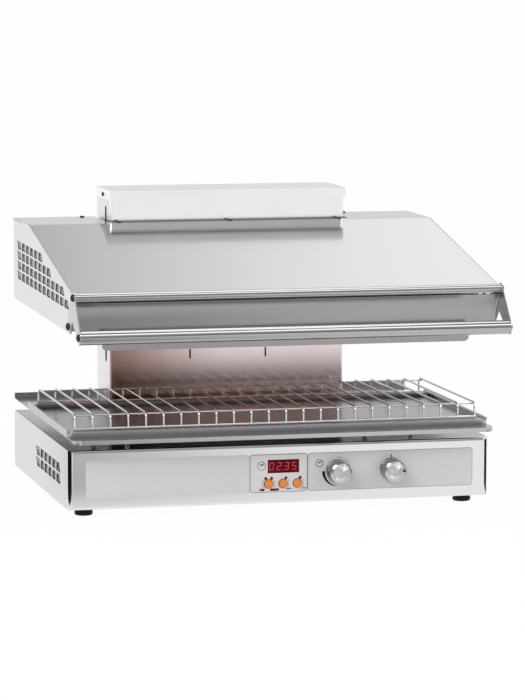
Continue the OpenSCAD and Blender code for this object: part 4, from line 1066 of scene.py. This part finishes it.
def make_folds():
    """The top sheet's edge, folded down over each side of the hood."""
    points = top_outline()
    for side, name in ((-1, "left"), (1, "right")):
        start()
        y, z = points[0]
        bpy.ops.mesh.primitive_plane_add(size=FOLD_DROP * MM, location=(0, 0, 0))
        ribbon = bpy.context.object
        bpy.ops.object.mode_set(mode="EDIT")
        bpy.ops.mesh.select_all(action="SELECT")
        bpy.ops.transform.rotate(value=math.radians(90), orient_axis="Y", center_override=(0, 0, 0))
        choose(ribbon, "VERT", lambda vertex: vertex.co.y > 0)
        bpy.ops.mesh.delete(type="VERT")
        choose(ribbon, "VERT", lambda vertex: True)
        drop = FOLD_DROP * MM / 2
        bpy.ops.transform.translate(value=(side * (SIDE_X + 0.02 * MM), y + drop, z - drop))
        bpy.ops.mesh.select_mode(type="EDGE")
        for (last_y, last_z), (next_y, next_z) in zip(points, points[1:]):
            bpy.ops.mesh.extrude_edges_move(
                TRANSFORM_OT_translate={"value": (0, next_y - last_y, next_z - last_z)})
        bpy.ops.mesh.select_all(action="SELECT")
        bpy.ops.mesh.normals_make_consistent(inside=False)
        bpy.ops.object.mode_set(mode="OBJECT")
        facing = ribbon.data.polygons[0].normal.x * side
        put_on(ribbon, "SOLIDIFY", thickness=FOLD_THICK * MM, offset=1 if facing > 0 else -1)
        tidy_mesh(ribbon)
        put_on(ribbon, "BEVEL", width=0.2 * MM, segments=2, limit_method="ANGLE",
               angle_limit=math.radians(50))
        hand_over(ribbon, "hood_fold_" + name, "hood_slope", "hood")


# ---------------------------------------------------------------- louvre tongues

TONGUE_SHEET = 1.2
TONGUE_DEPTH = 7.0
TONGUE_END = 5.0
SHEET_THICK = 1.5
HOOD_ROW_LENGTHS = (6, 8, 11, 12)
BASE_ROW_LENGTHS = (6, 6)
HOOD_ROWS = {"start": 491.0, "top": 435.5, "drop": 18.3, "pitch": 41.0, "height": 14.5, "fall": 5 / 525}
BASE_ROWS = {"start": 308.0, "top": 85.0, "drop": 20.0, "pitch": 37.5, "height": 16.0, "fall": 0.0}


def tongue(side, length, height):
    """One louvre tongue: hinged on the wall at its back end, its front end pressed inwards."""
    start()
    bpy.ops.mesh.primitive_cube_add(size=1, location=(0, 0, 0))
    piece = bpy.context.object
    piece.scale = (TONGUE_SHEET * MM, length * MM, height * MM)
    settle(piece)
    bpy.ops.object.mode_set(mode="EDIT")
    choose(piece, "VERT", lambda vertex: vertex.co.y < 0)
    bpy.ops.transform.translate(value=(-side * TONGUE_DEPTH * MM, 0, 0))
    bpy.ops.object.mode_set(mode="OBJECT")
    put_on(piece, "BEVEL", width=0.3 * MM, segments=1, limit_method="NONE")
    return piece


def make_tongues(name, finish, body, rows, lengths, wall_x):
    """Every tongue behind the openings of both sides."""
    made = []
    length = rows["pitch"] - TONGUE_END
    for side in (-1, 1):
        master = tongue(side, length, rows["height"] + 1.0)
        for row, count in enumerate(lengths):
            for cell in range(count):
                back = rows["start"] - TONGUE_END / 2 - cell * rows["pitch"]
                y = back - length / 2
                z = rows["top"] - row * rows["drop"] - rows["height"] / 2
                z -= (rows["start"] - y) * rows["fall"]
                made.append(copy_to(master, (
                    side * (wall_x - (SHEET_THICK + TONGUE_SHEET / 2 + 0.1) * MM),
                    from_front(y), cad_box[0].z + z * MM)))
        bpy.data.objects.remove(master)
    hand_over(together(made), name, finish, body)


# ---------------------------------------------------------------- rolled edges of the tray

BEAD_RADIUS = 2.3
BEAD_FRONT, BEAD_BACK = 3, 9


def make_beads():
    """The rolled top edge of each side wall of the tray, open at its ends."""
    low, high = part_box("drip_tray")
    length = (high.y - low.y) / MM - (BEAD_FRONT + BEAD_BACK)
    edge = BEAD_RADIUS
    bead = turned([(edge - 0.8, 1.5), (edge - 0.7, 0.1), (edge - 0.3, 0.0), (edge, 0.4),
                   (edge, length - 0.4), (edge - 0.3, length), (edge - 0.7, length - 0.1),
                   (edge - 0.8, length - 1.5)], sides=20)
    turn_to(bead, FORWARD)
    made = []
    for x in (low.x + (edge + 0.1) * MM, high.x - (edge + 0.1) * MM):
        made.append(copy_to(bead, (x, low.y + (length + BEAD_FRONT) * MM, high.z - edge * MM)))
    bpy.data.objects.remove(bead)
    hand_over(together(made), "tray_beads", "tube", "tray")


make_knobs()
make_pointer()
make_buttons()
make_lamps()
make_digits()
make_marks()
make_feet()
make_screws("hood_screws", "bolt")
make_screws("base_screws", "screw")
make_screws("column_screws", "bolt")
make_bolts()
make_folds()
make_tongues("hood_tongues", "louvre", "hood", HOOD_ROWS, HOOD_ROW_LENGTHS, SIDE_X)
make_tongues("base_tongues", "louvre", "frame", BASE_ROWS, BASE_ROW_LENGTHS,
             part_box("base_side_right")[1].x)
make_beads()

# ---------------------------------------------------------------- lights and stage

FLOOR_WHITE = 0.975
FLOOR_DIM = 0.5
FLOOR_HALF = 60.0
# Where the floor gets dimmer in reflections, in metres across and ahead
DIM_LEFT, DIM_RIGHT, DIM_AHEAD = (-0.62, -0.40), (-0.35, 0.35), (-0.6, -0.2)

# The mirrored room: how bright its walls, window and ceiling are, and where each blends into the next
WORLD_LEVEL = 0.62
BACK_LOW, BACK_LEFT, BACK_RIGHT = 0.74, 0.44, 1.10
FRONT_LOW, FRONT_HIGH, WINDOW, CEILING = 0.16, 0.50, 1.9, 0.22
BACK_TURN, BACK_RISE, SIDE_TURN, FRONT_RISE = (0.12, 0.30), (0.18, 0.42), (-0.25, 0.15), (0.04, 0.30)
WINDOW_SILL, WINDOW_TOP, CEILING_EDGE = (0.56, 0.66), (0.80, 0.88), (0.80, 0.90)
FLAG_HEIGHT = 0.105


def floor_finish():
    """A pale floor that shows white to the camera and in metal, and keeps the shadow."""
    finish = Finish("floor", Roughness=0.9)
    grain = finish.noise(30.0, detail=1.0)
    finish.put("Base Color", finish.blend(grain, grey(0.80), grey(0.82)))
    left_edge = finish.slide(finish.part(0), *DIM_LEFT) * (1 - finish.slide(finish.part(0), *DIM_RIGHT))
    ahead = 1 - finish.slide(finish.part(1), *DIM_AHEAD)
    dim = left_edge * ahead * finish.ray("Glossy") * FLOOR_DIM
    shown = finish.blend(dim, grey(1.0), grey(0.0))
    white = finish.node("ShaderNodeEmission", values={"Color": shown, "Strength": 1.0})
    seen = finish.ray("Camera", "Glossy", "Transmission")
    body = Wire(finish.tree, finish.shader.outputs[0])
    mix = finish.node("ShaderNodeMixShader", values={0: seen * FLOOR_WHITE, 1: body, 2: white})
    join(finish.tree, mix, finish.tree.nodes["Material Output"].inputs[0])
    return finish.material


def make_floor():
    """The wide pale floor that the object stands on."""
    start()
    bpy.ops.mesh.primitive_plane_add(size=2 * FLOOR_HALF, location=(0, 0, cad_box[0].z))
    floor = bpy.context.object
    floor.name = "floor"
    floor.data.materials.append(floor_finish())


def make_world():
    """White to the camera; what metal mirrors of it is a room with a window and a dark ceiling."""
    world = bpy.data.worlds.new("studio")
    bpy.context.scene.world = world
    world.use_nodes = True
    studio = Shade(world.node_tree)
    way = studio.node("ShaderNodeTexCoord", out="Generated")
    across, ahead, upward = (
        studio.node("ShaderNodeSeparateXYZ", values={"Vector": way}, out=axis) for axis in range(3))
    high_wall = studio.slide(across, *BACK_TURN, BACK_LEFT, BACK_RIGHT)
    behind = studio.slide(upward, *BACK_RISE, BACK_LOW, high_wall)
    window = studio.slide(upward, *WINDOW_SILL) - studio.slide(upward, *WINDOW_TOP)
    front = studio.slide(upward, *FRONT_RISE, FRONT_LOW, FRONT_HIGH) + window * WINDOW
    side = studio.slide(ahead, *SIDE_TURN)
    ceiling = studio.slide(upward, *CEILING_EDGE)
    wall = front * (1 - side) + behind * side
    room = wall * (1 - ceiling) + ceiling * CEILING
    glossy = studio.ray("Glossy")
    seen = studio.ray("Camera", "Transmission")
    plain = 1 - glossy.reckon("MAXIMUM", glossy, seen)
    level = seen.reckon("MAXIMUM", seen, glossy * room) + plain * WORLD_LEVEL
    background = studio.tree.nodes["Background"]
    join(studio.tree, level, background.inputs["Strength"])
    background.inputs["Color"].default_value = (1, 1, 1, 1)


def make_flag(name, x, front, back):
    """A low black card beside the base, which only reflections show, as in a product studio."""
    start()
    bpy.ops.mesh.primitive_plane_add(size=1, location=(0, 0, 0))
    card = bpy.context.object
    card.name = name
    card.scale = (FLAG_HEIGHT, back - front, 1)
    card.rotation_euler = (0, math.radians(90), 0)
    card.location = (x, (front + back) / 2, cad_box[0].z + FLAG_HEIGHT / 2)
    settle(card)
    card.data.materials.append(MATERIALS["ink"])
    card.visible_camera = False
    card.visible_diffuse = False
    card.visible_shadow = False
    card.visible_transmission = False


def softbox(name, place, aim, size, power):
    """A rectangular soft light."""
    light = bpy.data.lights.new(name, "AREA")
    light.shape = "RECTANGLE"
    light.size, light.size_y = size
    light.energy = power
    lamp = bpy.data.objects.new(name, light)
    lamp.location = place
    lamp.rotation_mode = "QUATERNION"
    lamp.rotation_quaternion = (Vector(aim) - Vector(place)).to_track_quat("-Z", "Y")
    bpy.context.scene.collection.objects.link(lamp)


make_floor()
make_world()
make_flag("flag_left", -0.52, -0.45, 0.10)
make_flag("flag_right", 0.50, -0.40, -0.20)
softbox("key", (-1.9, -2.2, 2.2), (0, 0, 0.25), (1.6, 1.6), 42)
softbox("fill", (2.4, -1.8, 1.4), (0, 0, 0.25), (1.6, 1.2), 16)
softbox("top", (0.2, 0.3, 2.6), (0, 0, 0.3), (2.2, 1.6), 20)
